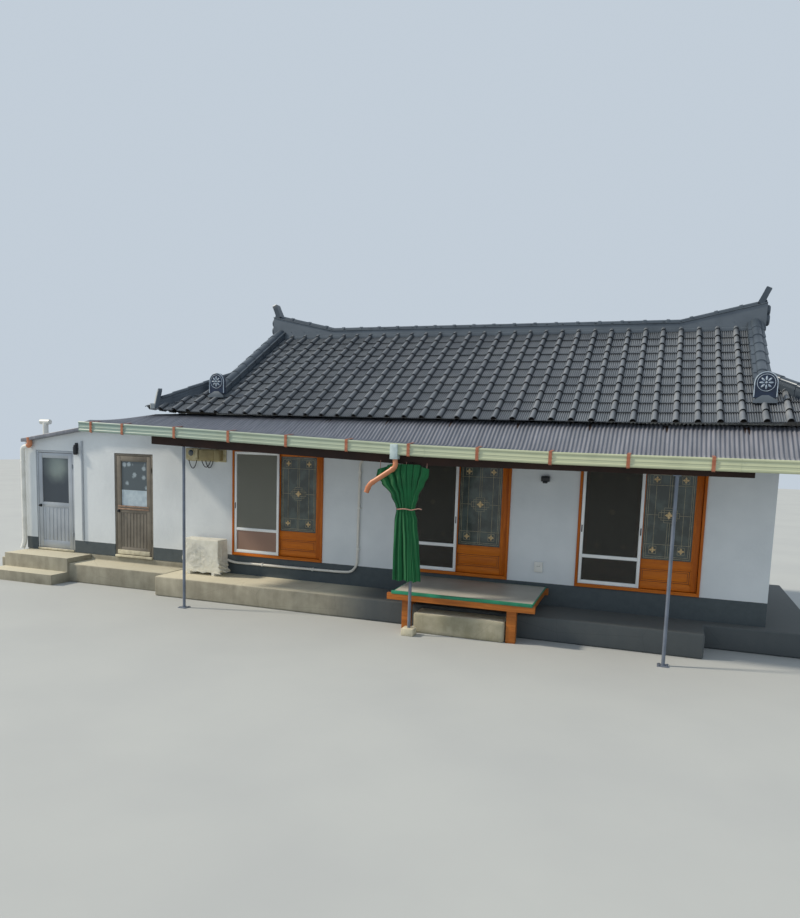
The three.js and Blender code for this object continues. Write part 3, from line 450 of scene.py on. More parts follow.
# Short name: (material, main tone, patches' tone, patch size, grain size, grain depth, roughness, metallic)
COATS = {
    # roof: dark and glossy, a paler copy on the ridge's wall as painted sheen, near black under the eaves as
    # painted shade
    "ridge": ("gloss_coated_ridge_steel", "#4a545e", "#3b4550", 0.5, 0.02, 0.0006, 0.36, 0.2),
    # a paler copy of the ridge steel for the main ridge's wall and the plaques' feet: painted sheen
    "ridge_light": ("weathered_ridge_steel", "#646d76", "#525b64", 0.6, 0.02, 0.0006, 0.4, 0.2),
    "emblem_pale": ("pale_glazed_relief", "#b9c6d2", "#93a3b3", 0.05, 0.01, 0.0004, 0.35),
    "emblem_dark": ("navy_glazed_disc", "#14233a", "#1b2c47", 0.1, 0.01, 0.0004, 0.25),
    # near-black boards: painted shade under the eaves
    "underside": ("painted_eave_board", "#2b2624", "#231f1d", 0.4, 0.01, 0.0005, 0.8),
    # masonry: dusty and matt, cream under the doors and grey on the roof
    "cement": ("cement_fillet", "#d3ccb4", "#bcb59e", 0.08, 0.004, 0.001, 0.9),
    "fillet": ("grey_cement_fillet", "#a9aeaf", "#92999b", 0.3, 0.004, 0.001, 0.9),
    # awning: copper-brown straps, satin plastic, a near-black beam, blue-grey posts
    "strap": ("copper_painted_strap", "#b9775a", "#a5634a", 0.05, 0.01, 0.0003, 0.4, 0.35),
    "pvc_brown": ("moulded_pvc_brown", "#cb8661", "#c07a55", 0.3, 0.02, 0.0003, 0.35),
    "pvc_white": ("moulded_pvc_white", "#e6e6e1", "#d5d5ce", 0.2, 0.02, 0.0003, 0.35),
    "pvc_blue": ("weathered_pvc_sleeve", "#c3d2d3", "#aebfc1", 0.06, 0.02, 0.0003, 0.4),
    "beam": ("dark_gloss_paint", "#200e08", "#2b140b", 0.3, 0.015, 0.0006, 0.8),
    "post": ("blue_grey_post_paint", "#77808f", "#68707d", 0.15, 0.01, 0.0005, 0.42, 0.3),
    # doors and windows: clean white or dull metal, dirty brown paint, dull brass lines
    # painted shade in the leaves' mouldings, as darker varnish
    "wood_groove": ("shadowed_varnish", "#7c3c0a", "#6a3208", 0.1, 0.01, 0.0003, 0.5),
    "white_metal": ("white_powder_coat", "#f1f3f3", "#e6e8e8", 0.3, 0.01, 0.0002, 0.35, 0.1),
    "mill_metal": ("mill_finish_aluminium", "#b4bac0", "#a3a9b0", 0.5, 0.008, 0.0003, 0.38, 0.55),
    "came": ("brass_came", "#aaa38c", "#8d866f", 0.05, 0.005, 0.0002, 0.45, 0.3),
    "came_gold": ("gilt_came", "#d3bb90", "#b79a68", 0.03, 0.005, 0.0002, 0.4, 0.3),
    "door_paint": ("brown_grey_door_paint", "#7b7469", "#696258", 0.25, 0.01, 0.0005, 0.5),
    "door_rail": ("worn_door_rail", "#a38873", "#7c5f4d", 0.08, 0.01, 0.0006, 0.5),
    # bench and curtain: a dull deck cloth with a clear green edge, a faded pink tie
    "vinyl": ("vinyl_deck_cloth", "#b3b0a6", "#a5a197", 0.5, 0.01, 0.0004, 0.5),
    "vinyl_edge": ("green_deck_edge", "#1f8a66", "#187253", 0.2, 0.01, 0.0004, 0.45),
    "tie": ("pink_cotton_tie", "#b78d80", "#9d7468", 0.05, 0.004, 0.0008, 0.8),
    # fittings: yellowed plastic, khaki steel, black rubber and castings
    "unit_white": ("cream_unit_paint", "#f4f2e9", "#e4e1d5", 0.2, 0.01, 0.0003, 0.4),
    "unit_dark": ("dark_unit_grille", "#4c4d49", "#3d3e3b", 0.1, 0.01, 0.0003, 0.5),
    "meter": ("aged_meter_plastic", "#c6bd9b", "#aa9f79", 0.08, 0.01, 0.0004, 0.45),
    "meter_box": ("khaki_box_paint", "#a1946a", "#8a7d56", 0.15, 0.01, 0.0004, 0.5),
    "cable": ("black_cable_sheath", "#3b4046", "#30353a", 0.05, 0.01, 0.0002, 0.5),
    "lamp": ("dark_lamp_casting", "#23262a", "#1b1d20", 0.05, 0.005, 0.0003, 0.35),
}


def make_materials():
    """Every finish by its short name."""
    made = {short: coat(*values) for short, values in COATS.items()}
    made.update({
        "tile": tile_coat(),
        "sheet": sheet_coat(),
        "gutter": gutter_paint(),
        "wood_upright": timber("varnished_pine_upright", "#c66a13", "#a2500c", (22.0, 22.0, 1.6)),
        "wood_level": timber("varnished_pine_level", "#d07416", "#b66011", (1.6, 22.0, 22.0)),
        "bench_wood": timber("varnished_bench_pine", "#bb7130", "#92511d", (1.6, 20.0, 20.0)),
        "plaster": plaster(),
        "concrete": concrete("cement_render", "#a8a392", "#878273", 0.3, 0.003, 0.9),
        "rough": concrete("rough_cast_concrete", "#bdb6a0", "#959079", 0.25, 0.012),
        "mesh": insect_mesh("fibreglass_insect_mesh", "#3d3c36", 0.8),
        # unit 1's meshes: lighter and warmer copies, painted as sunlit; the lower one is opaque, painted as
        # the sunlit wood behind it
        "mesh_dusty": insect_mesh("dusty_insect_mesh", "#77786f", 0.95),
        "mesh_warm": insect_mesh("insect_mesh_over_wood", "#96796a", 1.0),
        "glass": glass("patterned_glass", "#2b3532", "#46534f", 0.16, 0.3),
        "glow_glass": glow_glass(),
        "dim_glass": glass("frosted_glass", "#2f3a44", "#6c7672", 0.5, 0.22),
        "plain_film": glass("frosted_film", "#a9bac6", "#bccbd4", 0.1, 0.3),
        "film": flowered_film(),
        "net": net_cloth(),
        "cover": cover_film(),
        "tape": wound_tape(),
    })
    return made


# Shapes


def block(shape, low, high, edge=0.004):
    """A box between two corners, its edges rounded by edge."""
    verts = bmesh.ops.create_cube(shape, size=1.0)["verts"]
    low, high = Vector(low), Vector(high)
    for vert in verts:
        vert.co = (low + high) / 2 + vert.co * (high - low)
    if edge:
        edges = list({e for v in verts for e in v.link_edges})
        bmesh.ops.bevel(shape, geom=edges, offset=edge, segments=2, profile=0.5, affect="EDGES",
                        clamp_overlap=True)


def skin(shape, rings):
    """A closed skin over rings of points."""
    rows = [[shape.verts.new(point) for point in ring] for ring in rings]
    count = len(rows[0])
    for row, after in zip(rows, rows[1:]):
        for i in range(count):
            j = (i + 1) % count
            shape.faces.new((row[i], row[j], after[j], after[i]))
    shape.faces.new(rows[0][::-1])
    shape.faces.new(rows[-1])


def rounded(points, radius, steps=6):
    """A path whose corners are rounded, each within radius of its corner."""
    points = [Vector(p) for p in points]
    path = [points[0]]
    for before, corner, after in zip(points, points[1:], points[2:]):
        reach = min(radius, (before - corner).length / 2.01, (after - corner).length / 2.01)
        start = corner + (before - corner).normalized() * reach
        end = corner + (after - corner).normalized() * reach
        for i in range(steps + 1):
            t = i / steps
            path.append(start * (1 - t) ** 2 + corner * 2 * t * (1 - t) + end * t ** 2)
    return path + [points[-1]]


def tube(shape, path, radius, sides=12):
    """A closed round tube along a path, of one radius or one for each point."""
    path = [Vector(p) for p in path]
    radii = radius if isinstance(radius, list) else [radius] * len(path)
    side = (path[1] - path[0]).orthogonal().normalized()
    rings = []
    last = (path[1] - path[0]).normalized()
    for i, point in enumerate(path):
        ahead = path[min(i + 1, len(path) - 1)] - path[max(i - 1, 0)]
        along = ahead.normalized()
        side = last.rotation_difference(along) @ side
        side = (side - along * side.dot(along)).normalized()
        last = along
        over = along.cross(side)
        rings.append([point + (side * math.cos(a) + over * math.sin(a)) * radii[i]
                      for a in (2 * math.pi * k / sides for k in range(sides))])
    skin(shape, rings)


def turned(shape, centre, axis, profile, sides=24):
    """A turned shape about an axis. The profile gives (distance along the axis, radius)."""
    axis = Vector(axis).normalized()
    side = axis.orthogonal().normalized()
    over = axis.cross(side)
    rings = []
    for along, radius in profile:
        rings.append([Vector(centre) + axis * along
                      + (side * math.cos(a) + over * math.sin(a)) * radius
                      for a in (2 * math.pi * k / sides for k in range(sides))])
    skin(shape, rings)


def collar(shape, foot, axis, inner, outer, length, chamfer=0.002, sides=20):
    """A short sleeve round an axis, chamfered at both ends."""
    profile = [(0, inner), (chamfer, outer), (length - chamfer, outer), (length, inner)]
    turned(shape, foot, axis, profile, sides)


def prism(shape, outline, place, depth):
    """An outline of (a, b) pairs as a slab: place(a, b, d) puts a point at each end of depth."""
    skin(shape, [[place(a, b, d) for a, b in outline] for d in depth])


def placed(name, mesh, material, body="house", angle=35):
    """A piece from a finished mesh: smooth below the angle, riding on its body."""
    made = bpy.data.objects.new(name, mesh)
    scene.collection.objects.link(made)
    if not mesh.materials:
        mesh.materials.append(finishes[material])
    mesh.polygons.foreach_set("use_smooth", [True] * len(mesh.polygons))
    mesh.set_sharp_from_angle(angle=math.radians(angle))
    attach(made, body)
    return made


def piece(name, shape, material, body="house", angle=35):
    """A piece from closed shapes."""
    bmesh.ops.recalc_face_normals(shape, faces=shape.faces)
    mesh = bpy.data.meshes.new(name)
    shape.to_mesh(mesh)
    shape.free()
    return placed(name, mesh, material, body, angle)


def worn(node, material, edge):
    """A CAD node's solid with its edges rounded, in the node's place."""
    shape = bmesh.new()
    shape.from_mesh(frame["nodes"][node].data)
    bmesh.ops.remove_doubles(shape, verts=shape.verts, dist=1e-5)
    bmesh.ops.dissolve_limit(shape, angle_limit=0.01, verts=shape.verts, edges=shape.edges)
    sharp = [e for e in shape.edges if len(e.link_faces) == 2 and e.calc_face_angle() > 0.3]
    bmesh.ops.bevel(shape, geom=sharp, offset=edge, segments=3, profile=0.5, affect="EDGES",
                    clamp_overlap=True)
    made = piece(f"{node}_finished", shape, material, frame["nodes"][node]["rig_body"])
    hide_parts(node)
    return made


def paint_node(node, material):
    """Give a CAD node that keeps its own shape its finish."""
    mesh = frame["nodes"][node].data
    mesh.materials.clear()
    mesh.materials.append(finishes[material])


# Geometry Nodes trees


def input_sockets(tree, sockets):
    for label, kind in sockets:
        tree.interface.new_socket(label, in_out="INPUT", socket_type=f"NodeSocket{kind}")
    tree.interface.new_socket("Geometry", in_out="OUTPUT", socket_type="NodeSocketGeometry")
    return add(tree, "NodeGroupInput").outputs


def end_tree(tree, geometry, material):
    """Realized, painted and out."""
    real = add(tree, "GeometryNodeRealizeInstances", {"Geometry": geometry})
    painted = add(tree, "GeometryNodeSetMaterial", {"Geometry": real.outputs[0], "Material": material})
    add(tree, "NodeGroupOutput", {"Geometry": painted.outputs[0]})


def repeat_tree():
    """Rows and columns of the holder's own shape, centred."""
    tree = bpy.data.node_groups.new("rows_and_columns", "GeometryNodeTree")
    given = input_sockets(tree, [("Geometry", "Geometry"), ("Columns", "Int"), ("Rows", "Int"),
                                 ("Width", "Float"), ("Depth", "Float"), ("Material", "Material")])
    grid = add(tree, "GeometryNodeMeshGrid", {"Size X": given["Width"], "Size Y": given["Depth"],
                                              "Vertices X": given["Columns"], "Vertices Y": given["Rows"]})
    spots = add(tree, "GeometryNodeInstanceOnPoints", {"Points": grid.outputs["Mesh"],
                                                       "Instance": given["Geometry"]})
    end_tree(tree, spots.outputs["Instances"], given["Material"])
    return tree


def wave_tree():
    """A flat sheet pressed into waves across its width, centred."""
    tree = bpy.data.node_groups.new("pressed_waves", "GeometryNodeTree")
    given = input_sockets(tree, [("Width", "Float"), ("Depth", "Float"), ("Steps", "Int"),
                                 ("Wave Pitch", "Float"), ("Wave Height", "Float"), ("Start", "Float"),
                                 ("Material", "Material")])
    grid = add(tree, "GeometryNodeMeshGrid", {"Size X": given["Width"], "Size Y": given["Depth"],
                                              "Vertices X": given["Steps"], "Vertices Y": 9})
    place = add(tree, "ShaderNodeSeparateXYZ", {0: add(tree, "GeometryNodeInputPosition").outputs[0]})
    from_start = add(tree, "ShaderNodeMath", {0: place.outputs["X"], 1: given["Start"]}, operation="ADD")
    turns = add(tree, "ShaderNodeMath", {0: from_start.outputs[0], 1: given["Wave Pitch"]},
                operation="DIVIDE")
    phase = add(tree, "ShaderNodeMath", {0: turns.outputs[0], 1: 2 * math.pi}, operation="MULTIPLY")
    wave = add(tree, "ShaderNodeMath", {0: phase.outputs[0]}, operation="SINE")
    tall = add(tree, "ShaderNodeMath", {0: wave.outputs[0], 1: given["Wave Height"]}, operation="MULTIPLY")
    lift = add(tree, "ShaderNodeCombineXYZ", {"Z": tall.outputs[0]})
    pressed = add(tree, "GeometryNodeSetPosition", {"Geometry": grid.outputs["Mesh"],
                                                    "Offset": lift.outputs[0]})
    end_tree(tree, pressed.outputs[0], given["Material"])
    return tree


def grow(tree, values, start=None):
    """The plain mesh that a tree makes from its input values, and from a start shape."""
    mesh = bpy.data.meshes.new("holder")
    if start:
        start.to_mesh(mesh)
        start.free()
    holder = bpy.data.objects.new("holder", mesh)
    scene.collection.objects.link(holder)
    modifier = holder.modifiers.new("tree", "NODES")
    modifier.node_group = tree
    for item in tree.interface.items_tree:
        if item.in_out == "INPUT" and item.name in values:
            modifier[item.identifier] = values[item.name]
    graph = bpy.context.evaluated_depsgraph_get()
    made = bpy.data.meshes.new_from_object(holder.evaluated_get(graph))
    bpy.data.objects.remove(holder)
    return made


def repeated(start, columns, rows, column_pitch, row_pitch, material):
    """Copies of a shape on a grid, as one plain mesh."""
    return grow(trees["repeat"], {"Columns": columns, "Rows": rows, "Width": column_pitch * (columns - 1),
                                  "Depth": row_pitch * (rows - 1), "Material": finishes[material]}, start)


def moved(mesh, place):
    """The mesh with each of its points put through place(x, y, z)."""
    for vert in mesh.vertices:
        vert.co = place(*vert.co)
    return mesh


# Roof


def corner_lift(x, y):
    """How far the roof's surface rises towards the eave corners."""
    corner = math.hypot(EAVE_HALF - abs(x), max(0.0, ROOF_DEPTH - abs(y - RIDGE_Y)))
    return CORNER_LIFT * max(0.0, 1 - corner / LIFT_REACH) ** 2


def front_top(x, y):
    return EAVE_Z + SLOPE * (ROOF_DEPTH - abs(y - RIDGE_Y)) + corner_lift(x, y)


def unshaded_share_at(x, z):
    """How much of a tile's own tone shows through the painted shade: all of it on a roll's left side, none on
    its right, more on a pan's ribs than in its hollows.
    """
    if abs(x) < ROLL_HALF * 1.07:
        return min(1.0, max(0.0, 0.5 - 0.5 * x / ROLL_HALF))
    return 0.25 + 30.0 * z


def tile_shape():
    """One tile: a roll with half a ribbed pan on each side, its lower edge raised over a lip."""
    rib_half, rib_tall = 0.009, 0.012
    left = [(-TILE_PITCH / 2, 0.0)]
    for centre in (-0.122, -0.092, -0.062):
        left += [(centre - rib_half, 0.0), (centre - rib_half / 2, rib_tall),
                 (centre + rib_half / 2, rib_tall), (centre + rib_half, 0.0)]
    right = [(-x, z) for x, z in reversed(left)]

    def across(size):
        half = [(-1.0, 0.0), (-0.84, 0.55), (-0.45, 0.92), (0.0, 1.0)]
        roll = half + [(-x, z) for x, z in reversed(half[:-1])]
        return left + [(x * ROLL_HALF * size, z * ROLL_TALL * size) for x, z in roll] + right

    shape = bmesh.new()
    # each point's share of the tile's own tone against painted shade; the lip row keeps 0, a painted shade
    # line under every course
    washed = shape.verts.layers.float.new("washed")
    lip, low, high = across(1.06), across(1.06), across(0.97)
    rows = [[shape.verts.new((x, 0.004, z + TILE_STEP - 0.011)) for x, z in lip],
            [shape.verts.new((x, 0.0, z + TILE_STEP)) for x, z in low],
            [shape.verts.new((x, TILE_COURSE + 0.006, z)) for x, z in high]]
    for row, line in zip(rows[1:], (low, high)):
        for vert, (x, z) in zip(row, line):
            vert[washed] = unshaded_share_at(x, z)
    for row, after in zip(rows, rows[1:]):
        for i in range(len(row) - 1):
            shape.faces.new((row[i], row[i + 1], after[i + 1], after[i]))
    return shape


def trimmed(mesh, planes, inside):
    """The part of a mesh whose faces are inside, cut on upright planes given as (x, y, nx, ny)."""
    shape = bmesh.new()
    shape.from_mesh(mesh)
    for x, y, nx, ny in planes:
        everything = shape.verts[:] + shape.edges[:] + shape.faces[:]
        bmesh.ops.bisect_plane(shape, geom=everything, plane_co=(x, y, 0), plane_no=(nx, ny, 0), dist=1e-5)
    outside = [f for f in shape.faces if not inside(*f.calc_center_median()[:2])]
    bmesh.ops.delete(shape, geom=outside, context="FACES")
    shape.to_mesh(mesh)
    shape.free()
    return mesh


def tile_field(columns, rows):
    """A flat field of tiles, its lower edge at y = 0 and its middle at x = 0."""
    field = repeated(tile_shape(), columns, rows, TILE_PITCH, TILE_COURSE, "tile")
    shift = TILE_COURSE * (rows - 1) / 2
    return moved(field, lambda x, y, z: (x, y + shift, z))


def on_slope(side, s, h, eave):
    """A point s up a slope and h over it, as (distance in from the eave line, height)."""
    place = eave + side * (s * math.cos(TILT) - h * math.sin(TILT))
    return place, EAVE_Z + s * math.sin(TILT) + h * math.cos(TILT)


TILE_LEAD = 0.004            # how far up the slope a field starts
UNDER_GABLE = 1.35           # half width of the side tiles that run in under a gable
DIAGONALS = [(x, y, nx, ny) for x in (-EAVE_HALF, EAVE_HALF) for y in (EAVE_FRONT, EAVE_BACK)
             for nx, ny in ((1, 1), (1, -1))]


def make_long_side(name, turn, eave):
    """The front's or the back's tiles, up to the main ridge and out to the hips and verges."""
    hip_run = EAVE_HALF - VERGE_X

    def lay(x, y, z):
        place, height = on_slope(turn, y + TILE_LEAD, z, eave)
        return (turn * x, place, height + corner_lift(x, place))

    def inside(x, y):
        run = turn * (y - eave)
        reach = EAVE_HALF - run if run < hip_run else VERGE_X
        return abs(x) < reach and run < ROOF_DEPTH - 0.02

    columns = round(2 * EAVE_HALF / TILE_PITCH) + 1
    rows = math.ceil(ROOF_DEPTH / math.cos(TILT) / TILE_COURSE)
    cuts = DIAGONALS + [(VERGE_X, 0, 1, 0), (-VERGE_X, 0, 1, 0), (0, eave + turn * hip_run, 0, 1)]
    field = trimmed(moved(tile_field(columns, rows), lay), cuts, inside)
    placed(name, field, "tile", angle=25)


def make_short_side(name, turn):
    """A hip's tiles, which run in under the gable."""
    eave = -turn * EAVE_HALF

    def lay(x, y, z):
        place, height = on_slope(turn, y + TILE_LEAD, z, eave)
        across = RIDGE_Y - turn * x
        return (place, across, height + corner_lift(place, across))

    def inside(x, y):
        off, run = abs(y - RIDGE_Y), EAVE_HALF - abs(x)
        return off < ROOF_DEPTH - run and abs(x) > (GABLE_X if off < UNDER_GABLE else VERGE_X)

    columns = round((EAVE_BACK - EAVE_FRONT) / TILE_PITCH) + 1
    rows = math.ceil((EAVE_HALF - GABLE_X) / math.cos(TILT) / TILE_COURSE)
    cuts = DIAGONALS + [(-turn * VERGE_X, 0, 1, 0), (0, RIDGE_Y - UNDER_GABLE, 0, 1),
                        (0, RIDGE_Y + UNDER_GABLE, 0, 1), (-turn * GABLE_X, 0, 1, 0)]
    field = trimmed(moved(tile_field(columns, rows), lay), cuts, inside)
    placed(name, field, "tile", angle=25)


def make_tiles():
    make_long_side("front_tiles", 1, EAVE_FRONT)
    make_long_side("back_tiles", -1, EAVE_BACK)
    make_short_side("right_tiles", -1)
    make_short_side("left_tiles", 1)


def ridge_section(width, rise, size=1.0):
    """A ridge's section as (sideways, up) pairs: a stepped wall under a half-round cap."""
    half = width / 2
    roll = half * 0.62
    wall = [(half, -0.05), (half, rise * 0.35), (half * 0.9, rise * 0.38), (half * 0.86, rise * 0.68),
            (half, rise * 0.71), (half, rise * 0.76)]
    arc = [(roll * math.cos(a), rise * 0.78 + (rise * 0.24) * math.sin(a))
           for a in (math.pi * i / 8 for i in range(9))]
    outline = wall + arc + [(-w, h) for w, h in reversed(wall)]
    return [(w * size, h if h < 0 else h * size) for w, h in outline]


def ridge_run(shape, low, high, width, rise):
    """Lapped ridge caps from a low end up to a high end."""
    low, high = Vector(low), Vector(high)
    along = high - low
    flat = Vector((along.x, along.y, 0)).normalized()
    sideways = flat.cross(Vector((0, 0, 1)))
    count = round(along.length / 0.3)
    for i in range(count):
        ends = []
        for t, size in ((i / count, 1.06), ((i + 1) / count + 0.01, 0.98)):
            middle = low + along * t
            ends.append([middle + sideways * w + Vector((0, 0, h))
                         for w, h in ridge_section(width, rise, size)])
        skin(shape, ends)


def arch_outline(half, low, centre, steps=14):
    """An arch as (sideways, up) pairs."""
    arc = [(half * math.cos(a), centre + half * math.sin(a))
           for a in (math.pi * i / steps for i in range(steps + 1))]
    return [(half, low)] + arc + [(-half, low)]


def lotus(shape, centre, out, radius):
    """Eight rounded petals and a boss, standing on a disc that faces out."""
    out = Vector(out).normalized()
    side = out.orthogonal().normalized()
    over = out.cross(side)
    for k in range(8):
        a = 2 * math.pi * k / 8
        along = side * math.cos(a) + over * math.sin(a)
        across = out.cross(along)
        middle = Vector(centre) + along * radius * 0.6
        profile = [(-1.0, 0.05), (-0.7, 0.6), (-0.1, 0.95), (0.5, 0.85), (0.85, 0.5), (1.0, 0.05)]
        rings = []
        for t, w in profile:
            spot = middle + along * t * radius * 0.34
            rings.append([spot + across * radius * 0.15 * w * math.cos(b)
                          + out * radius * 0.14 * w * math.sin(b)
                          for b in (2 * math.pi * j / 8 for j in range(8))])
        skin(shape, rings)
    turned(shape, centre, out, [(-0.01, radius * 0.16), (0.012, radius * 0.16), (0.02, radius * 0.08)], 12)


def ring_points(centre, out, radius, steps=32):
    """A closed ring of points in an upright plane, standing out from a centre."""
    return [centre + Vector((math.cos(a), 0, math.sin(a))) * radius + out
            for a in (2 * math.pi * i / steps for i in range(steps + 1))]


def make_plaque(corner, centre, out):
    """The arched plaque at a descending ridge's foot: a rim, a ring and a rosette on a wedge."""
    disc_radius = 0.112
    plaque, relief, foot = bmesh.new(), bmesh.new(), bmesh.new()
    prism(plaque, arch_outline(0.145, -0.2, 0.0),
          lambda a, b, d: centre + Vector((a, 0, b)) + out * d, (-0.035, 0.025))
    turned(plaque, centre, out, [(0.0, 0.118), (0.03, 0.118), (0.031, disc_radius)], 32)
    rim = [centre + Vector((a, 0, b)) + out * 0.024 for a, b in arch_outline(0.14, -0.19, 0.0)]
    tube(relief, rim, 0.007, 8)
    tube(relief, ring_points(centre, out * 0.031, disc_radius), 0.004, 8)
    lotus(relief, centre + out * 0.031, out, 0.094)
    square = ((-1, -1), (1, -1), (1, 1), (-1, 1))
    skin(foot, [[centre + Vector((a * wide, b * deep, h)) for a, b in square]
                for wide, deep, h in ((0.15, 0.055, -0.27), (0.15, 0.055, -0.235), (0.04, 0.03, -0.165))])
    piece(f"{corner}_plaque_foot", foot, "ridge_light")
    piece(f"{corner}_plaque", plaque, "emblem_dark")
    piece(f"{corner}_plaque_relief", relief, "emblem_pale")


def make_end_tile(corner, low, top):
    """The leaning arched tile that closes a hip ridge, filled with cement."""
    outward = low - top
    outward.z = 0
    outward.normalize()
    up = Vector((0, 0, 1))
    sideways = outward.cross(up)
    lean = up - outward * 0.22

    def stand(a, b, d):
        return low + outward * (0.02 + d) + sideways * a + lean * b

    end, fill = bmesh.new(), bmesh.new()
    prism(end, arch_outline(0.105, -0.03, 0.21), stand, (-0.04, 0.02))
    prism(fill, arch_outline(0.088, -0.02, 0.2), stand, (0.018, 0.03))
    bed = low + outward * 0.06
    skin(fill, [[bed + sideways * w + outward * o + up * h
                 for w, h in ((-0.1, -0.04), (0.1, -0.04), (0.07, 0.05), (-0.07, 0.05))]
                for o in (-0.05, 0.05)])
    piece(f"{corner}_end_tile", end, "ridge")
    piece(f"{corner}_cement", fill, "fillet")


def make_corner_ridges():
    """The four descending ridges with their plaques, and the four hip ridges with their end tiles."""
    low_y, top_y, tip = -0.43, RIDGE_Y - 0.13, 0.11
    low_z, top_z = front_top(VERGE_X, low_y), front_top(VERGE_X, top_y)
    for depth, turn in (("front", 1), ("back", -1)):
        for side, mirror in (("left", -1), ("right", 1)):
            def at(x, y, z):
                return Vector((mirror * x, RIDGE_Y + turn * (y - RIDGE_Y), z))

            hip_low = at(EAVE_HALF - tip, EAVE_FRONT + tip, front_top(EAVE_HALF - tip, EAVE_FRONT + tip))
            hip_top = at(VERGE_X + 0.06, HIP_TOP_Y - 0.07, front_top(VERGE_X, HIP_TOP_Y) - 0.02)
            caps = bmesh.new()
            ridge_run(caps, at(VERGE_X, low_y, low_z), at(VERGE_X, top_y, top_z), 0.22, 0.19)
            ridge_run(caps, hip_low, hip_top, 0.19, 0.15)
            made = piece(f"{depth}_{side}_ridge_caps", caps, "ridge")
            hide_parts(f"{depth}_{side}_ridge")
            make_plaque(f"{depth}_{side}", at(VERGE_X, low_y - 0.02, low_z + 0.28), Vector((0, -turn, 0)))
            make_end_tile(f"{depth}_{side}", hip_low, hip_top)


RIDGE_END = 4.43
SWEEP_START = 3.15
SWEEP_RISE = 0.28


def ridge_cap_top(x):
    """Height of the main ridge's cap, which sweeps up at both ends."""
    return RIDGE_Z + 0.15 + SWEEP_RISE * max(0.0, (abs(x) - SWEEP_START) / (RIDGE_END - SWEEP_START))


def make_horn(shape, mirror):
    """A leaning horn on an end of the main ridge, over two round ridge ends."""
    base = Vector((mirror * 4.33, RIDGE_Y, 5.2))
    tip = Vector((mirror * 4.44, RIDGE_Y, 5.45))
    lean = (tip - base).normalized()
    across = Vector((lean.z, 0, -lean.x)) * mirror
    rings = []
    for t, half, wide in ((0.0, 0.05, 0.085), (0.6, 0.045, 0.08), (0.94, 0.046, 0.08), (1.0, 0.038, 0.07)):
        spot = base + (tip - base) * t
        rings.append([spot + across * a * half + Vector((0, b * wide, 0))
                      for a, b in ((-1, -1), (1, -1), (1, 1), (-1, 1))])
    skin(shape, rings)
    for height, radius in ((5.1, 0.085), (4.95, 0.095)):
        turned(shape, (mirror * RIDGE_END, RIDGE_Y, height), (mirror, 0, 0),
               [(-0.04, radius), (0.03, radius), (0.05, radius * 0.8)], 20)


def make_main_ridge():
    """A stepped wall under a round cap with collars, both sweeping up to the horns."""
    wall, cap = bmesh.new(), bmesh.new()
    sweep = [SWEEP_START, 3.5, 3.8, 4.1, RIDGE_END]
    stations = [-x for x in reversed(sweep)] + [-2, 0, 2] + sweep

    def section(x):
        low, top = RIDGE_Z - 0.07, ridge_cap_top(x) - 0.055
        half = [(0.14, low), (0.14, low + 0.05), (0.105, low + 0.062), (0.1, top - 0.02),
                (0.115, top - 0.012), (0.115, top)]
        return [Vector((x, RIDGE_Y + y, z)) for y, z in half + [(-y, z) for y, z in reversed(half)]]

    skin(wall, [section(x) for x in stations])
    cap_drop, cap_radius, collar = 0.06, 0.062, 0.073
    tube(cap, [(x, RIDGE_Y, ridge_cap_top(x) - cap_drop) for x in stations], cap_radius, 16)
    count = round(2 * RIDGE_END / 0.37)
    for i in range(1, count):
        x = -RIDGE_END + 2 * RIDGE_END * i / count
        rise = ridge_cap_top(x + 0.02) - ridge_cap_top(x - 0.02)
        turned(cap, (x, RIDGE_Y, ridge_cap_top(x) - cap_drop), (0.04, 0, rise),
               [(-0.03, cap_radius), (-0.024, collar), (0.024, collar), (0.03, cap_radius)], 16)
    for mirror in (-1, 1):
        make_horn(cap, mirror)
    made = piece("main_ridge_wall", wall, "ridge_light")
    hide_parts("main_ridge")
    piece("main_ridge_cap", cap, "ridge")


def make_eaves():
    """Thin boards under the tiles, painted near black as the shade under the eaves, set back so that the
    eaves show only the tiles' edge.
    """
    thick, clear, set_back = 0.022, 0.004, 0.08
    for node in ("front_roof", "back_roof", "left_hip_roof", "right_hip_roof"):
        shape = bmesh.new()
        shape.from_mesh(frame["nodes"][node].data)
        bmesh.ops.remove_doubles(shape, verts=shape.verts, dist=1e-5)
        for vert in shape.verts:
            edge_x, edge_y = EAVE_HALF - abs(vert.co.x), ROOF_DEPTH - abs(vert.co.y - RIDGE_Y)
            run = edge_x if node.endswith("hip_roof") else edge_y
            under = vert.co.z < EAVE_Z + SLOPE * run + corner_lift(vert.co.x, vert.co.y) - 0.05
            vert.co.x -= math.copysign(max(0.0, set_back - edge_x), vert.co.x)
            vert.co.y -= math.copysign(max(0.0, set_back - edge_y), vert.co.y - RIDGE_Y)
            top = EAVE_Z + SLOPE * max(run, set_back) + corner_lift(vert.co.x, vert.co.y)
            vert.co.z = top - (thick if under else clear)
        made = piece(f"{node}_boards", shape, "underside")
        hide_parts(node)


# Walls and base


def make_walls():
    plain = ("front_wall_head", "side_wall_head", "side_room_walls", "washroom_front_pier", "house_floor")
    for node in frame["nodes"]:
        if node in plain or node.startswith("front_pier") or node.endswith(("_wall", "_gable")):
            paint_node(node, "plaster")
    paint_node("kitchen_roof", "fillet")
    worn("washroom_roof", "sheet", 0.01)


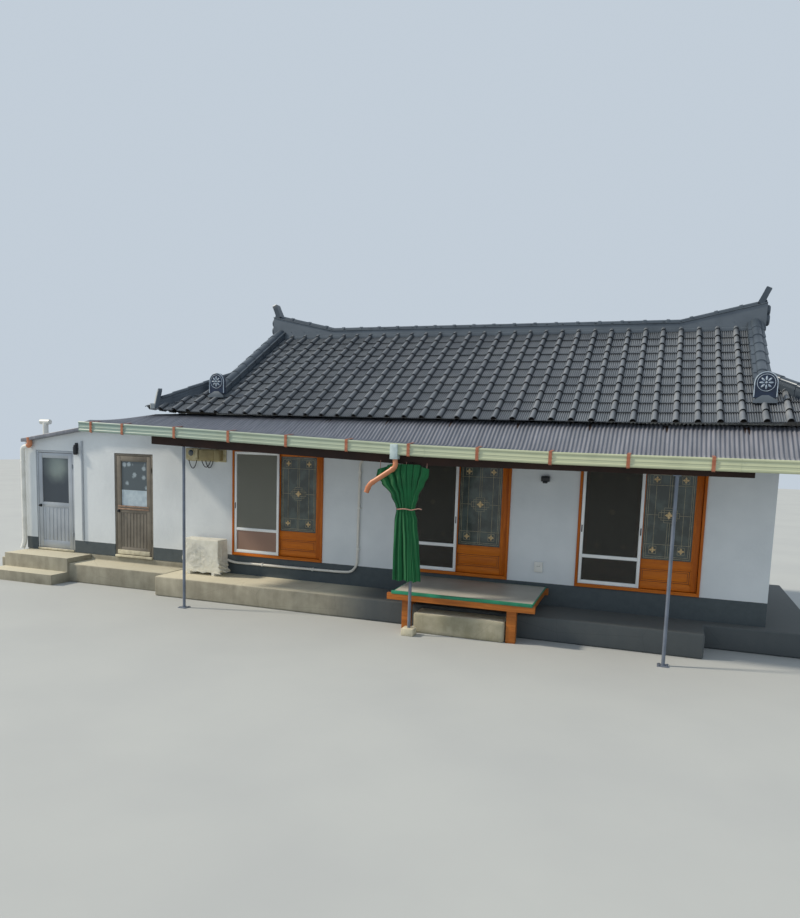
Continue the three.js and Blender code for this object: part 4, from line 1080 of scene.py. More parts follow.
def make_base():
    """The rendered plinths and step, and the rough cast block under the bench."""
    for node, edge in (("main_plinth", 0.03), ("kitchen_plinth", 0.025), ("washroom_step", 0.02)):
        worn(node, "concrete", edge)
    low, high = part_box("stone_step")
    roughness, lumps_per_metre, lump_seed = 0.008, 6, 1
    shape = bmesh.new()
    block(shape, low, high, 0.03)
    bmesh.ops.subdivide_edges(shape, edges=shape.edges[:], cuts=6, use_grid_fill=True)
    noise.seed_set(lump_seed)      # without a seed, noise_vector gives other lumps on every run
    for vert in shape.verts:
        if vert.co.z > low.z + 0.01:
            vert.co += noise.noise_vector(vert.co * lumps_per_metre) * roughness
            vert.co.y = min(vert.co.y, high.y)
    made = piece("stone_step_finished", shape, "rough")
    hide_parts("stone_step")


# Awning


def value_on(line, x):
    """Height of a line of (x, z) points at x."""
    for (x0, z0), (x1, z1) in zip(line, line[1:]):
        if x <= x1:
            break
    return z0 + (z1 - z0) * (x - x0) / (x1 - x0)


def gutter_top(x):
    return value_on(GUTTER_LINE, x)


def sheet_under(x, y):
    """Underside of the sheet: shallow over the gutter, then up under the eaves to the wall."""
    knee = gutter_top(x) - SHEET_THICK + 0.25 * (min(y, SHEET_KNEE) - GUTTER_BACK + 0.005)
    low_end = 0.12 * min(1.0, max(0.0, (-5.3 - x) / 0.9))
    tuck = [(SHEET_KNEE, knee)] + [(place, height - low_end) for place, height in SHEET_TUCK]
    return knee if y <= SHEET_KNEE else value_on(tuck, y)


def make_sheet():
    """The corrugated sheet, its waves running down the fall."""
    left, right = GUTTER_LINE[0][0], GUTTER_LINE[-1][0]
    middle_x, middle_y = (left + right) / 2, (SHEET_FRONT + SHEET_BACK) / 2
    steps_per_wave, clear = 8, 0.0105
    values = {"Width": right - left, "Depth": SHEET_BACK - SHEET_FRONT,
              "Steps": round((right - left) / WAVE_PITCH * steps_per_wave) + 1, "Wave Pitch": WAVE_PITCH,
              "Wave Height": 0.012, "Start": middle_x, "Material": finishes["sheet"]}

    def lay(x, y, z):
        x, y = x + middle_x, y + middle_y
        return (x, y, sheet_under(min(max(x, left), right), y) + clear + z)

    waves = moved(grow(trees["wave"], values), lay)
    made = placed("awning_waves", waves, "sheet", angle=80)
    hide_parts("awning_sheet")
    gauge = made.modifiers.new("gauge", "SOLIDIFY")
    gauge.thickness = 0.0015
    gauge.offset = 0


def make_beam():
    """The dark beam along the posts, deeper by a batten that fades out towards the right."""
    beam = worn("awning_beam", "beam", 0.006)
    for vert in beam.data.vertices:
        if vert.co.z < value_on(BEAM_LINE, vert.co.x) + 0.02:
            vert.co.z -= BEAM_DEEPER * min(1.0, max(0.0, (BATTEN_END - vert.co.x) / BATTEN_FADE))


def make_rafters():
    half, tall, clear = 0.03, 0.06, 0.002
    shape = bmesh.new()
    for x in RAFTER_X:
        tops = [(y, sheet_under(x, y) - clear) for y in (-1.44, SHEET_KNEE, SHEET_TUCK[0][0], -0.03)]
        skin(shape, [[(x - half, y, top - tall), (x + half, y, top - tall), (x + half, y, top),
                      (x - half, y, top)] for y, top in tops])
    piece("awning_rafters", shape, "beam")


def gutter_section():
    """The pressed gutter's section as (y, height) pairs: a rolled lip, grooves and a closed back."""
    front, back = GUTTER_FRONT, GUTTER_BACK
    face = [(0.0, -0.002), (-0.003, -0.012), (0.0, -0.024), (0.008, -0.03), (0.008, -0.074), (0.004, -0.08),
            (0.008, -0.086), (0.007, -0.118), (0.0, -0.127), (0.001, -0.146), (0.018, -0.16)]
    inner = [(0.02, -0.156), (0.011, -0.147), (0.011, -0.02), (0.02, -0.012), (0.018, 0.002), (0.006, 0.005)]
    rear = [(back, -0.16), (back, -0.02), (back - 0.004, -0.02), (back - 0.004, -0.156)]
    return [(front + y, z) for y, z in face] + rear + [(front + y, z) for y, z in inner]


def make_gutter():
    """The gutter, closed at both ends, with two joints where its lengths meet."""
    front, back = GUTTER_FRONT, GUTTER_BACK
    section = gutter_section()
    shape = bmesh.new()
    stations = [x for x, _ in GUTTER_LINE]
    skin(shape, [[(x, y, gutter_top(x) + z) for y, z in section] for x in stations])
    for x, out in ((stations[0], 0.004), (stations[-1], -0.004)):
        top = gutter_top(x)
        block(shape, (min(x, x + out), front + 0.004, top - 0.158), (max(x, x + out), back, top - 0.004),
              0.001)
    swollen = [(y - 0.003 if y < front + 0.03 else y, z - (0.002 if z < -0.1 else 0)) for y, z in section]
    for x in GUTTER_JOINTS:
        prism(shape, swollen, lambda a, b, d: (d, a, gutter_top(d) + b), (x - 0.002, x + 0.002))
    made = piece("gutter_channel", shape, "gutter")
    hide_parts("gutter")


def make_straps():
    """Copper-coloured straps from the sheet round the gutter's face to its foot, with two rivets."""
    front = GUTTER_FRONT
    side, half_thick, hook_y = Vector((0.022, 0, 0)), 0.0015, -1.4
    straps = bmesh.new()
    for x in STRAP_X:
        rim = gutter_top(x)
        path = [(hook_y, sheet_under(x, hook_y) - rim + 0.024), (front + 0.03, 0.012), (front - 0.006, 0.01),
                (front - 0.008, -0.16), (front + 0.02, -0.172)]
        for (y0, z0), (y1, z1) in zip(path, path[1:]):
            normal = Vector((0, z0 - z1, y1 - y0)).normalized() * half_thick
            ends = (Vector((x, y0, rim + z0)), Vector((x, y1, rim + z1)))
            skin(straps, [[p - side - normal, p + side - normal, p + side + normal, p - side + normal]
                          for p in ends])
        for z in (-0.03, -0.125):
            turned(straps, (x, front - 0.009, rim + z), (0, -1, 0), [(0, 0.006), (0.002, 0.005)], 10)
    piece("gutter_straps", straps, "strap")


def make_outlet():
    """The pale sleeve on the gutter, and the brown rain pipe below it with its collars."""
    x, y = -0.57, -1.572
    top, up = gutter_top(x), Vector((0, 0, 1))
    sleeve = bmesh.new()
    block(sleeve, (x - 0.058, GUTTER_FRONT - 0.014, top - 0.225), (x + 0.058, GUTTER_BACK - 0.02, top - 0.01),
          0.008)
    piece("outlet_sleeve", sleeve, "pvc_blue")
    pipe = bmesh.new()
    under = top - GUTTER_TALL
    route = ((x, y, under - 0.02), (x + 0.03, y - 0.028, 2.468), (-0.935, y - 0.036, 2.205),
             (-0.98, y - 0.038, 2.085))
    start, bend, elbow, mouth = (Vector(p) for p in route)
    tube(pipe, rounded([start, bend, elbow, mouth], 0.055), 0.037, 20)
    for spot, ahead in ((bend, elbow - bend), (elbow, bend - elbow), (elbow, mouth - elbow)):
        axis = ahead.normalized()
        collar(pipe, spot + axis * 0.045, axis, 0.038, 0.042, 0.03)
    collar(pipe, (x, y, under - 0.045), up, 0.04, 0.046, 0.045)
    made = piece("rain_pipe_run", pipe, "pvc_brown")
    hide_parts("gutter_outlet")


def make_posts():
    """Steel tubes with a cap plate, on a bolted foot plate or, in the middle, in a cement block."""
    up, bolt_out, plate = (0, 0, 1), 0.052, 0.01
    for i in (1, 2, 3):
        low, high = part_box(f"awning_post_{i}")
        x, y = (low.x + high.x) / 2, (low.y + high.y) / 2
        shape = bmesh.new()
        turned(shape, (x, y, 0.009), up, [(0, 0.024), (high.z - 0.012, 0.024)], 24)
        block(shape, (x - 0.05, y - 0.05, high.z - 0.012), (x + 0.05, y + 0.045, high.z), 0.002)
        if i == 2:
            base = bmesh.new()
            block(base, low, (high.x, high.y, 0.11), 0.015)
            piece("awning_post_2_block", base, "cement")
        else:
            block(shape, (low.x, low.y, 0), (high.x, high.y, plate), 0.002)
            for a in (-bolt_out, bolt_out):
                for b in (-bolt_out, bolt_out):
                    turned(shape, (x + a, y + b, 0.009), up, [(0, 0.011), (0.01, 0.011), (0.012, 0.007)], 6)
        made = piece(f"awning_post_{i}_tube", shape, "post")
        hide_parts(f"awning_post_{i}")


# Sliding door units

UNIT_LEFT = [-4.237, -0.978, 1.878]
UNIT_WIDTH = 1.8
UNIT_TOP = 2.62
JAMB, SILL = 0.04, 0.05
LEAF_Y, FIXED_Y, SCREEN_Y = (0.026, 0.056), (0.074, 0.104), (-0.018, 0.008)
OVERLAP = 0.045
RUN = 0.006


def frame_bars(upright, level, x0, x1, y0, y1, z0, z1, stile, low, mid, mid_z, edge=0.004, top=None):
    """Stiles, rails and a middle rail, in upright and level pieces."""
    block(upright, (x0, y0, z0), (x0 + stile, y1, z1), edge)
    block(upright, (x1 - stile, y0, z0), (x1, y1, z1), edge)
    for b0, b1 in ((z0, z0 + low), (z1 - (top or stile), z1), (mid_z - mid / 2, mid_z + mid / 2)):
        block(level, (x0 + stile - LAP, y0 + LAP, b0), (x1 - stile + LAP, y1 - LAP, b1), edge)


def bead(shape, x0, x1, y0, y1, z0, z1, width):
    """A thin bead round the inside of an opening."""
    for a0, a1, b0, b1 in ((x0, x0 + width, z0, z1), (x1 - width, x1, z0, z1), (x0, x1, z0, z0 + width),
                           (x0, x1, z1 - width, z1)):
        block(shape, (a0, y0, b0), (a1, y1, b1), 0.002)


def leaded_pattern(lines, gold, x0, x1, z0, z1, y):
    """Cames on a pane: a border, corner squares, long bars and a stepped lattice round a flower."""
    centre_x, centre_z = (x0 + x1) / 2, 1.872
    width, height = x1 - x0, z1 - z0
    rise = (z0 + z1) / 2 - centre_z
    square_half, square_tall, square_a, square_b = 0.05, 0.055, 0.2, 0.525
    lattice, pair_half, inset, half_came = 0.145, 0.016, 0.025, 0.0025

    def bar(a0, a1, b0, b1):
        """A came between two points given from the pane's centre."""
        block(lines, (centre_x + min(a0, a1) - half_came, y - 0.004, centre_z + min(b0, b1) - half_came),
              (centre_x + max(a0, a1) + half_came, y, centre_z + max(b0, b1) + half_came), 0.0)

    def outline(a, b, half_a, half_b):
        for s in (-1, 1):
            bar(a + s * half_a, a + s * half_a, b - half_b, b + half_b)
            bar(a - half_a, a + half_a, b + s * half_b, b + s * half_b)

    def flower(a, b, size):
        middle = Vector((centre_x + a, y - 0.003, centre_z + b))
        for k in range(4):
            angle = math.pi / 2 * k
            out = Vector((math.cos(angle), 0, math.sin(angle)))
            across = Vector((-out.z, 0, out.x)) * size * 0.35
            waist = middle + out * size * 0.5
            petal = (middle, waist - across, middle + out * size, waist + across)
            skin(gold, [[p + Vector((0, d, 0)) for p in petal] for d in (0.002, -0.003)])
        turned(gold, middle, (0, -1, 0), [(0, size * 0.22), (0.005, size * 0.2)], 8)

    for border in (inset, 2 * inset):
        outline(0, rise, width / 2 - border, height / 2 - border)
    for s in (-1, 1):
        for t in (-1, 1):
            outline(s * square_a, t * square_b, square_half, square_tall)
            flower(s * square_a, t * square_b, 0.048)
        bar(s * square_a, s * square_a, -square_b + square_tall, square_b - square_tall)
        bar(s * pair_half, s * pair_half, 0.12, height / 2 - inset)
        bar(s * pair_half, s * pair_half, -height / 2 + inset, -0.12)
        bar(s * lattice, s * (width / 2 - inset), 0, 0)
        bar(-width / 2 + inset, width / 2 - inset, s * (square_b - 0.085), s * (square_b - 0.085))
    for half_a, half_b in ((lattice, 0.04), (0.11, 0.075), (0.07, 0.11)):
        outline(0, 0, half_a, half_b)
    flower(0, 0, 0.06)
    turned(gold, (centre_x, y - 0.003, centre_z), (0, -1, 0), [(0, 0.03), (0.006, 0.028)], 12)


def wooden_leaf(name, x0, x1, y0, y1, z0, z1, body, node=None):
    """A varnished leaf: leaded glass over a fielded panel, its mouldings outlined by dark strips of painted
    shade.
    """
    stile, mid, low, mid_z, top_rail = 0.09, 0.12, 0.095, 1.13, 0.045
    a, b, middle = x0 + stile, x1 - stile, (y0 + y1) / 2
    panel_low, panel_high = z0 + low, mid_z - mid / 2
    pane_low, pane_high = mid_z + mid / 2, z1 - top_rail
    upright, level, panel, pane, groove, lines, gold = (bmesh.new() for _ in range(7))
    frame_bars(upright, level, x0, x1, y0, y1, z0, z1, stile, low, mid, mid_z, top=top_rail)
    bead(level, a, b, y0 + 0.004, middle, pane_low, pane_high, 0.012)
    bead(level, a, b, y0 + 0.004, middle, panel_low, panel_high, 0.014)
    # dark strips round the panel and its raised field: painted shade in the mouldings
    for inset, proud, width in ((0.014, 0.008, 0.008), (0.04, 0.0065, 0.006)):
        bead(groove, a + inset, b - inset, middle - proud, middle, panel_low + inset, panel_high - inset,
             width)
    block(panel, (a - LAP, middle - 0.004, panel_low - LAP), (b + LAP, middle + 0.004, panel_high + LAP), 0.0)
    field = 0.045
    block(panel, (a + field, middle - 0.01, panel_low + field),
          (b - field, middle + 0.01, panel_high - field), 0.007)
    block(pane, (a - LAP, middle - 0.003, pane_low - LAP), (b + LAP, middle + 0.003, pane_high + LAP), 0.0)
    leaded_pattern(lines, gold, a + 0.012, b - 0.012, pane_low + 0.012, pane_high - 0.012, middle - 0.003)
    piece(f"{name}_grooves", groove, "wood_groove", body)
    made = piece(f"{name}_stiles", upright, "wood_upright", body)
    if node:
        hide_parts(node)
    for part, shape, material in (("rails", level, "wood_level"), ("panel", panel, "wood_level"),
                                  ("pane", pane, "glass"), ("cames", lines, "came"),
                                  ("flowers", gold, "came_gold")):
        piece(f"{name}_{part}", shape, material, body)


def make_unit_frame(n, x0, x1, low, high):
    """A unit's jambs, head and sill, with a drip edge under the sill's front."""
    y0, y1, edge = -0.025, 0.13, 0.005
    z0, z1 = SKIRTING_TOP + GAP, UNIT_TOP - GAP
    upright, level = bmesh.new(), bmesh.new()
    block(upright, (x0 + GAP, y0, z0), (x0 + JAMB, y1, z1), edge)
    block(upright, (x1 - JAMB, y0, z0), (x1 - GAP, y1, z1), edge)
    for b0, b1 in ((z0, low), (high, z1)):
        block(level, (x0 + JAMB - LAP, y0 + LAP, b0), (x1 - JAMB + LAP, y1 - LAP, b1), edge)
    block(level, (x0 + 0.01, y0 - 0.012, z0 + 0.004), (x1 - 0.01, y0 + 0.004, z0 + 0.03), 0.004)
    made = piece(f"unit_{n}_jambs", upright, "wood_upright")
    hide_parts(f"unit_{n}_frame")
    piece(f"unit_{n}_sill", level, "wood_level")


def make_units():
    """Three units: a fixed leaf at the left, a sliding leaf at the right, and a screen before them."""
    low, high = SKIRTING_TOP + SILL, UNIT_TOP - JAMB
    for n, x0 in enumerate(UNIT_LEFT, 1):
        x1 = x0 + UNIT_WIDTH
        mid = (x0 + x1) / 2
        make_unit_frame(n, x0, x1, low, high)
        wooden_leaf(f"unit_{n}_fixed", x0 + JAMB, mid + OVERLAP, *FIXED_Y, low, high, "house")
        wooden_leaf(f"unit_{n}_sliding", mid - OVERLAP, x1 - JAMB - RUN, *LEAF_Y, low + RUN, high - RUN,
                    f"unit_{n}_leaf", f"unit_{n}_leaf")
        make_screen(n, x0 + JAMB + RUN, mid + OVERLAP, low + RUN, high - RUN)


def make_screen(n, x0, x1, z0, z1):
    """An insect screen: a white frame round an upper and a lower mesh, with finger pulls."""
    body, slot = f"unit_{n}_screen", "screen_aluminium"
    bar, foot, mid_z = 0.04, 0.05, 1.185
    tuck = bar - LAP
    mesh_y = (-0.006, -0.0045)
    bars, netting, lower, pulls = (bmesh.new() for _ in range(4))
    y0, y1 = SCREEN_Y
    frame_bars(bars, bars, x0, x1, y0, y1, z0, z1, bar, foot, bar, mid_z, 0.005)
    block(netting, (x0 + tuck, mesh_y[0], mid_z), (x1 - tuck, mesh_y[1], z1 - tuck), 0.0)
    block(lower, (x0 + tuck, mesh_y[0], z0 + foot - LAP), (x1 - tuck, mesh_y[1], mid_z - LAP), 0.0)
    for b0, b1 in ((z0 + foot, mid_z - bar / 2), (mid_z + bar / 2, z1 - bar)):
        bead(bars, x0 + bar, x1 - bar, -0.012, -0.002, b0, b1, 0.006)
    for x in {1: [x0 + 0.02], 2: [x1 - 0.02], 3: [x0 + 0.02, x1 - 0.02]}[n]:
        block(pulls, (x - 0.009, y0 - 0.004, 1.55), (x + 0.009, y0 + 0.002, 1.66), 0.003)
    made = piece(f"{body}_frame", bars, "white_metal", body)
    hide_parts(body)
    # unit 1 takes the copies of the mesh painted as sunlit, the others the plain mesh
    piece(f"{body}_mesh", netting, "mesh_dusty" if n == 1 else "mesh", body)
    piece(f"{body}_lower_mesh", lower, "mesh_warm" if n == 1 else "mesh", body)
    piece(f"{body}_pull", pulls, "lamp", body)


# Hinged doors

DOOR_TOP = 2.455
DOOR_JAMB = 0.045
DOOR_FACE = 0.01
DOOR_FLOOR, DOOR_SILL = 0.46, 0.505
DOORS = {"kitchen": (-6.867, -5.978), "washroom": (-8.8, -7.85)}


def make_door_surround(shape, x0, x1):
    """A hinged door's jambs, head and sill."""
    z0, z1, back = DOOR_FLOOR + GAP, DOOR_TOP - GAP, 0.12
    block(shape, (x0 + GAP, DOOR_FACE, z0), (x0 + DOOR_JAMB, back, z1), 0.004)
    block(shape, (x1 - DOOR_JAMB, DOOR_FACE, z0), (x1 - GAP, back, z1), 0.004)
    for b0, b1 in ((z1 - DOOR_JAMB, z1), (z0, DOOR_SILL)):
        block(shape, (x0 + DOOR_JAMB - LAP, DOOR_FACE + LAP, b0),
              (x1 - DOOR_JAMB + LAP, back - LAP, b1), 0.004)


def make_hinges(surround, leaf, x1):
    """Two hinges of two knuckles each: the lower one the frame's, the upper one the leaf's."""
    x, y = x1 - DOOR_JAMB - RUN / 2, 0.001
    for z in (DOOR_SILL + 0.25, DOOR_TOP - DOOR_JAMB - 0.3):
        for shape, foot in ((surround, z), (leaf, z + 0.0453)):
            collar(shape, (x, y, foot), (0, 0, 1), 0.007, 0.009, 0.045, sides=12)


def make_door(room, metal, panes, rib_pitch):
    """A framed door: panes over a ribbed panel, given as (part, material, low, high), and a knob."""
    x0, x1 = DOORS[room]
    body = f"{room}_door_leaf"
    surround, leaf, rib, knob = (bmesh.new() for _ in range(4))
    make_door_surround(surround, x0, x1)
    make_hinges(surround, leaf, x1)
    made = piece(f"{room}_door_surround", surround, metal)
    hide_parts(f"{room}_door_frame")
    a0, a1 = x0 + DOOR_JAMB + RUN, x1 - DOOR_JAMB - RUN
    low, high = DOOR_SILL + RUN, DOOR_TOP - DOOR_JAMB - RUN
    stile, foot, mid_z = 0.09, 0.144, 1.37
    tuck = stile - LAP
    frame_bars(leaf, leaf, a0, a1, DOOR_FACE, DOOR_FACE + 0.04, low, high, stile, foot, stile, mid_z)
    block(leaf, (a0 + tuck, 0.02, low + foot - 0.004), (a1 - tuck, 0.04, mid_z - 0.04), 0.0)
    bead(leaf, a0 + stile, a1 - stile, DOOR_FACE + 0.004, 0.03, mid_z + stile / 2, high - stile, 0.01)
    made = piece(f"{room}_door_bars", leaf, metal, body)
    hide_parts(body)
    block(rib, (-0.012, 0.014, low + 0.15), (0.012, 0.024, mid_z - 0.05), 0.004)
    clear = a1 - a0 - 2 * stile
    count = round(clear / rib_pitch)
    ribs = repeated(rib, count, 1, clear / count, 1, metal)
    shift = (a0 + a1) / 2
    placed(f"{room}_door_ribs", moved(ribs, lambda x, y, z: (x + shift, y, z)), metal, body)
    for part, material, pane_low, pane_high in panes:
        pane = bmesh.new()
        block(pane, (a0 + tuck, 0.026, pane_low), (a1 - tuck, 0.034, pane_high or high - tuck), 0.0)
        piece(f"{room}_door_{part}", pane, material, body)
    turned(knob, (a0 + 0.0425, DOOR_FACE, 1.3475), (0, -1, 0),
           [(-0.002, 0.03), (0.006, 0.03), (0.008, 0.012), (0.022, 0.012), (0.028, 0.024), (0.04, 0.024),
            (0.045, 0.014)], 20)
    piece(f"{room}_door_knob", knob, "lamp", body)


def make_doors():
    """The kitchen's painted door with its worn strips, the washroom's metal one, and both thresholds."""
    pane_foot, film_top = 1.414, 1.76
    make_door("kitchen", "door_paint", [("pane", "film", film_top, None),
                                        ("strip", "plain_film", pane_foot, film_top)], 0.08)
    make_door("washroom", "mill_metal", [("pane", "glow_glass", pane_foot, None)], 0.1)
    rails, kick, steps = bmesh.new(), bmesh.new(), bmesh.new()
    x0, x1 = DOORS["kitchen"]
    for z in (1.38, 1.43):
        block(rails, (x0 + 0.07, 0.002, z), (x1 - 0.1, 0.012, z + 0.03), 0.004)
    block(kick, (x0 + 0.055, 0.001, 0.515), (x1 - 0.09, 0.011, 0.6), 0.004)
    piece("kitchen_door_kick_strip", kick, "cement", "kitchen_door_leaf")
    piece("kitchen_door_mid_strips", rails, "door_rail", "kitchen_door_leaf")
    for room, front, top, edge in (("kitchen", -0.035, 0.503, 0.008), ("washroom", -0.02, 0.5, 0.006)):
        x0, x1 = DOORS[room]
        block(steps, (x0 + 0.02, front, DOOR_FLOOR + GAP), (x1 - 0.02, 0.009, top), edge)
    piece("door_thresholds", steps, "cement")


# Windows of the back and right walls


def make_windows():
    """Sliding windows in white frames, two sashes each, over a cement ledge."""
    half, bar, sash, depth = 0.5995, 0.045, 0.04, 0.06
    hidden_rail = 0.001      # a sash has no middle rail, so it is lost in the top one
    for node, turn in (("back_window_1", math.pi), ("back_window_2", math.pi), ("right_window", math.pi / 2)):
        low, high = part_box(node)
        middle, tall = (low + high) / 2, high.z - low.z
        spot = Matrix.Translation((middle.x, middle.y, low.z)) @ Matrix.Rotation(turn, 4, "Z")
        bars, pane, ledge = bmesh.new(), bmesh.new(), bmesh.new()
        block(bars, (-half, -depth, 0), (-half + bar, depth, tall), 0.004)
        block(bars, (half - bar, -depth, 0), (half, depth, tall), 0.004)
        for b0, b1 in ((0, bar), (tall - bar, tall)):
            block(bars, (-half + bar - LAP, -depth + LAP, b0), (half - bar + LAP, depth - LAP, b1), 0.004)
        for a, b, y in ((-half + bar, 0.025, -0.022), (-0.025, half - bar, 0.006)):
            frame_bars(bars, bars, a, b, y, y + 0.022, bar + LAP, tall - bar - LAP, sash, sash, hidden_rail,
                       tall - 0.06, 0.003)
            block(pane, (a + 0.038, y + 0.008, 0.08), (b - 0.038, y + 0.014, tall - 0.08), 0.0)
        block(ledge, (-half - 0.05, -0.135, -0.045), (half + 0.05, -0.1005, -0.002), 0.008)
        for shape in (bars, pane, ledge):
            bmesh.ops.transform(shape, matrix=spot, verts=shape.verts)
        made = piece(f"{node}_frame", bars, "white_metal")
        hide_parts(node)
        piece(f"{node}_panes", pane, "dim_glass")
        piece(f"{node}_ledge", ledge, "cement")


# Bench


def make_bench():
    """A deck of dull cloth with a green edge, falling a little to the front, on a wooden frame."""
    low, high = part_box("bench_top")
    front_top_z, back_top_z, board, band = 0.595, 0.648, 0.022, 0.03

    def slab(shape, x0, x1, y0, y1, drop0, drop1, edge):
        """A slab that follows the deck's fall, drop0 to drop1 below its top."""
        mark = len(shape.verts)
        block(shape, (x0, y0, -drop1), (x1, y1, -drop0), edge)
        shape.verts.ensure_lookup_table()
        for vert in shape.verts[mark:]:
            share = (vert.co.y - low.y) / (high.y - low.y)
            vert.co.z += front_top_z + (back_top_z - front_top_z) * share

    deck, border = bmesh.new(), bmesh.new()
    inset = 0.018
    slab(deck, low.x + inset, high.x - inset, low.y + inset, high.y - inset, 0.0, board, 0.003)
    slab(border, low.x, high.x, low.y - 0.006, low.y + 0.04, -0.016, board + 0.008, 0.006)
    slab(border, low.x, high.x, high.y - band, high.y, 0.001, board, 0.006)
    for x in (low.x, high.x - band):
        slab(border, x, x + band, low.y + 0.02, high.y - 0.02, 0.0015, board, 0.006)
    made = piece("bench_deck", deck, "vinyl")
    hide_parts("bench_top")
    piece("bench_deck_edge", border, "vinyl_edge")
    for node in ("bench_frame", "bench_trestle_left", "bench_trestle_right"):
        worn(node, "bench_wood", 0.006)


# Cooling unit and its loose film cover


def make_cooler_case(low, high):
    """The unit itself: a case on two feet, and a round grille behind a wire guard."""
    case_low, case_high = low + Vector((0.03, 0.03, 0.06)), high - Vector((0.03, 0.03, 0.03))
    out = (0, -1, 0)
    case, grille, guard = bmesh.new(), bmesh.new(), bmesh.new()
    block(case, case_low, case_high, 0.02)
    for x in (low.x + 0.12, high.x - 0.12):
        block(case, (x - 0.03, low.y + 0.02, low.z), (x + 0.03, high.y - 0.02, low.z + 0.062), 0.004)
    centre = Vector((low.x + 0.29, case_low.y, (case_low.z + case_high.z) / 2))
    turned(grille, centre, out, [(-0.002, 0.225), (0.004, 0.225), (0.005, 0.22)], 40)
    made = piece("cooling_unit_case", case, "unit_white")
    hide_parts("cooling_unit")
    piece("cooling_unit_grille", grille, "unit_dark")
    for radius in (0.06, 0.1, 0.14, 0.18, 0.215):
        tube(guard, ring_points(centre, Vector((0, -0.01, 0)), radius, 40), 0.003, 6)
    turned(guard, centre, out, [(0.002, 0.055), (0.012, 0.055), (0.016, 0.045)], 24)
    piece("cooling_unit_guard", guard, "unit_white")
    return made


def cover_rings(low, high, tall):
    """Rings of points over the unit's top, from near its middle out, and then down its sides."""
    corners = [(low.x, low.y), (high.x, low.y), (high.x, high.y), (low.x, high.y)]
    around = []
    for (xa, ya), (xb, yb) in zip(corners, corners[1:] + corners[:1]):
        n = round(math.hypot(xb - xa, yb - ya) / 0.02)
        around += [(xa + (xb - xa) * i / n, ya + (yb - ya) * i / n) for i in range(n)]
    mid = (low + high) / 2
    over = [[Vector((mid.x + (x - mid.x) * k / 8, mid.y + (y - mid.y) * k / 8, high.z)) for x, y in around]
            for k in range(1, 8)]
    return over + [[Vector((x, y, high.z - tall * k / 31)) for x, y in around] for k in range(32)]


def crumpled(p, low, high):
    """Where a point of the loose film hangs: creased, ragged at its hem, bunched at the right foot."""
    away = (p - (low + high) / 2).normalized()
    crease = noise.noise(p * 7) * 0.6 + noise.noise(p * 19 + Vector((3, 1, 7))) * 0.4
    sag = 0.5 + 0.5 * min(1.0, (high.z - p.z) / 0.3)
    hem = max(0.0, (low.z + 0.16 - p.z) / 0.14)
    flare = hem * 0.022 * noise.noise(Vector((p.x * 9, p.y * 9, 2.0)))
    bunch = max(0.0, 1 - (high.x - p.x) / 0.22) * max(0.0, 1 - (p.z - low.z) / 0.3)
    flow = Vector((0.09, -0.02, 0)) * bunch * (0.8 + 0.5 * math.sin(p.z * 70 + p.y * 30))
    ragged = Vector((0, 0, 0.03 * hem * noise.noise(Vector((p.x * 6, p.y * 6, 7.0)))))
    hung = p + away * (crease * 0.03 * sag + flare - 0.004) + flow + ragged
    return Vector((min(max(hung.x, low.x - 0.008), high.x + 0.1),
                   min(max(hung.y, low.y - 0.008), high.y + 0.004), max(hung.z, PLINTH_TOP + 0.004)))


def make_cooler():
    """The cooling unit under its loose film cover."""
    low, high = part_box("cooling_unit")
    case = make_cooler_case(low, high)
    tall = high.z - low.z - 0.05
    shape = bmesh.new()
    rows = [[shape.verts.new(p) for p in ring] for ring in cover_rings(low, high, tall)]
    for row, after in zip(rows, rows[1:]):
        for i in range(len(row)):
            j = (i + 1) % len(row)
            shape.faces.new((row[i], after[i], after[j], row[j]))
    shape.faces.new(rows[0])
    for vert in shape.verts:
        vert.co = crumpled(vert.co.copy(), low, high)
    cover = piece("cooling_unit_cover", shape, "cover", angle=80)
    smooth = cover.modifiers.new("smooth", "SUBSURF")
    smooth.levels = smooth.render_levels = 1


# Shade curtain

CURTAIN_Y = -1.502
TIE_Z = 1.865
CURTAIN_FOLDS = 7
# Height, middle, half width and fold depth of the gathered cloth
CURTAIN_FORM = [(2.51, -0.475, 0.395, 0.024), (2.4, -0.485, 0.4, 0.03), (2.25, -0.465, 0.33, 0.036),
                (2.05, -0.43, 0.21, 0.036), (1.9, -0.415, 0.15, 0.036), (1.865, -0.412, 0.135, 0.034),
                (1.83, -0.41, 0.145, 0.036), (1.7, -0.4, 0.175, 0.044), (1.3, -0.38, 0.195, 0.048),
                (0.82, -0.358, 0.205, 0.048)]


def form_at(z):
    """Middle, half width and fold depth of the curtain at a height."""
    for above, below in zip(CURTAIN_FORM, CURTAIN_FORM[1:]):
        if z >= below[0]:
            break
    t = min(1.0, max(0.0, (above[0] - z) / (above[0] - below[0])))
    t = t * t * (3 - 2 * t)
    return [a + (b - a) * t for a, b in zip(above[1:], below[1:])]


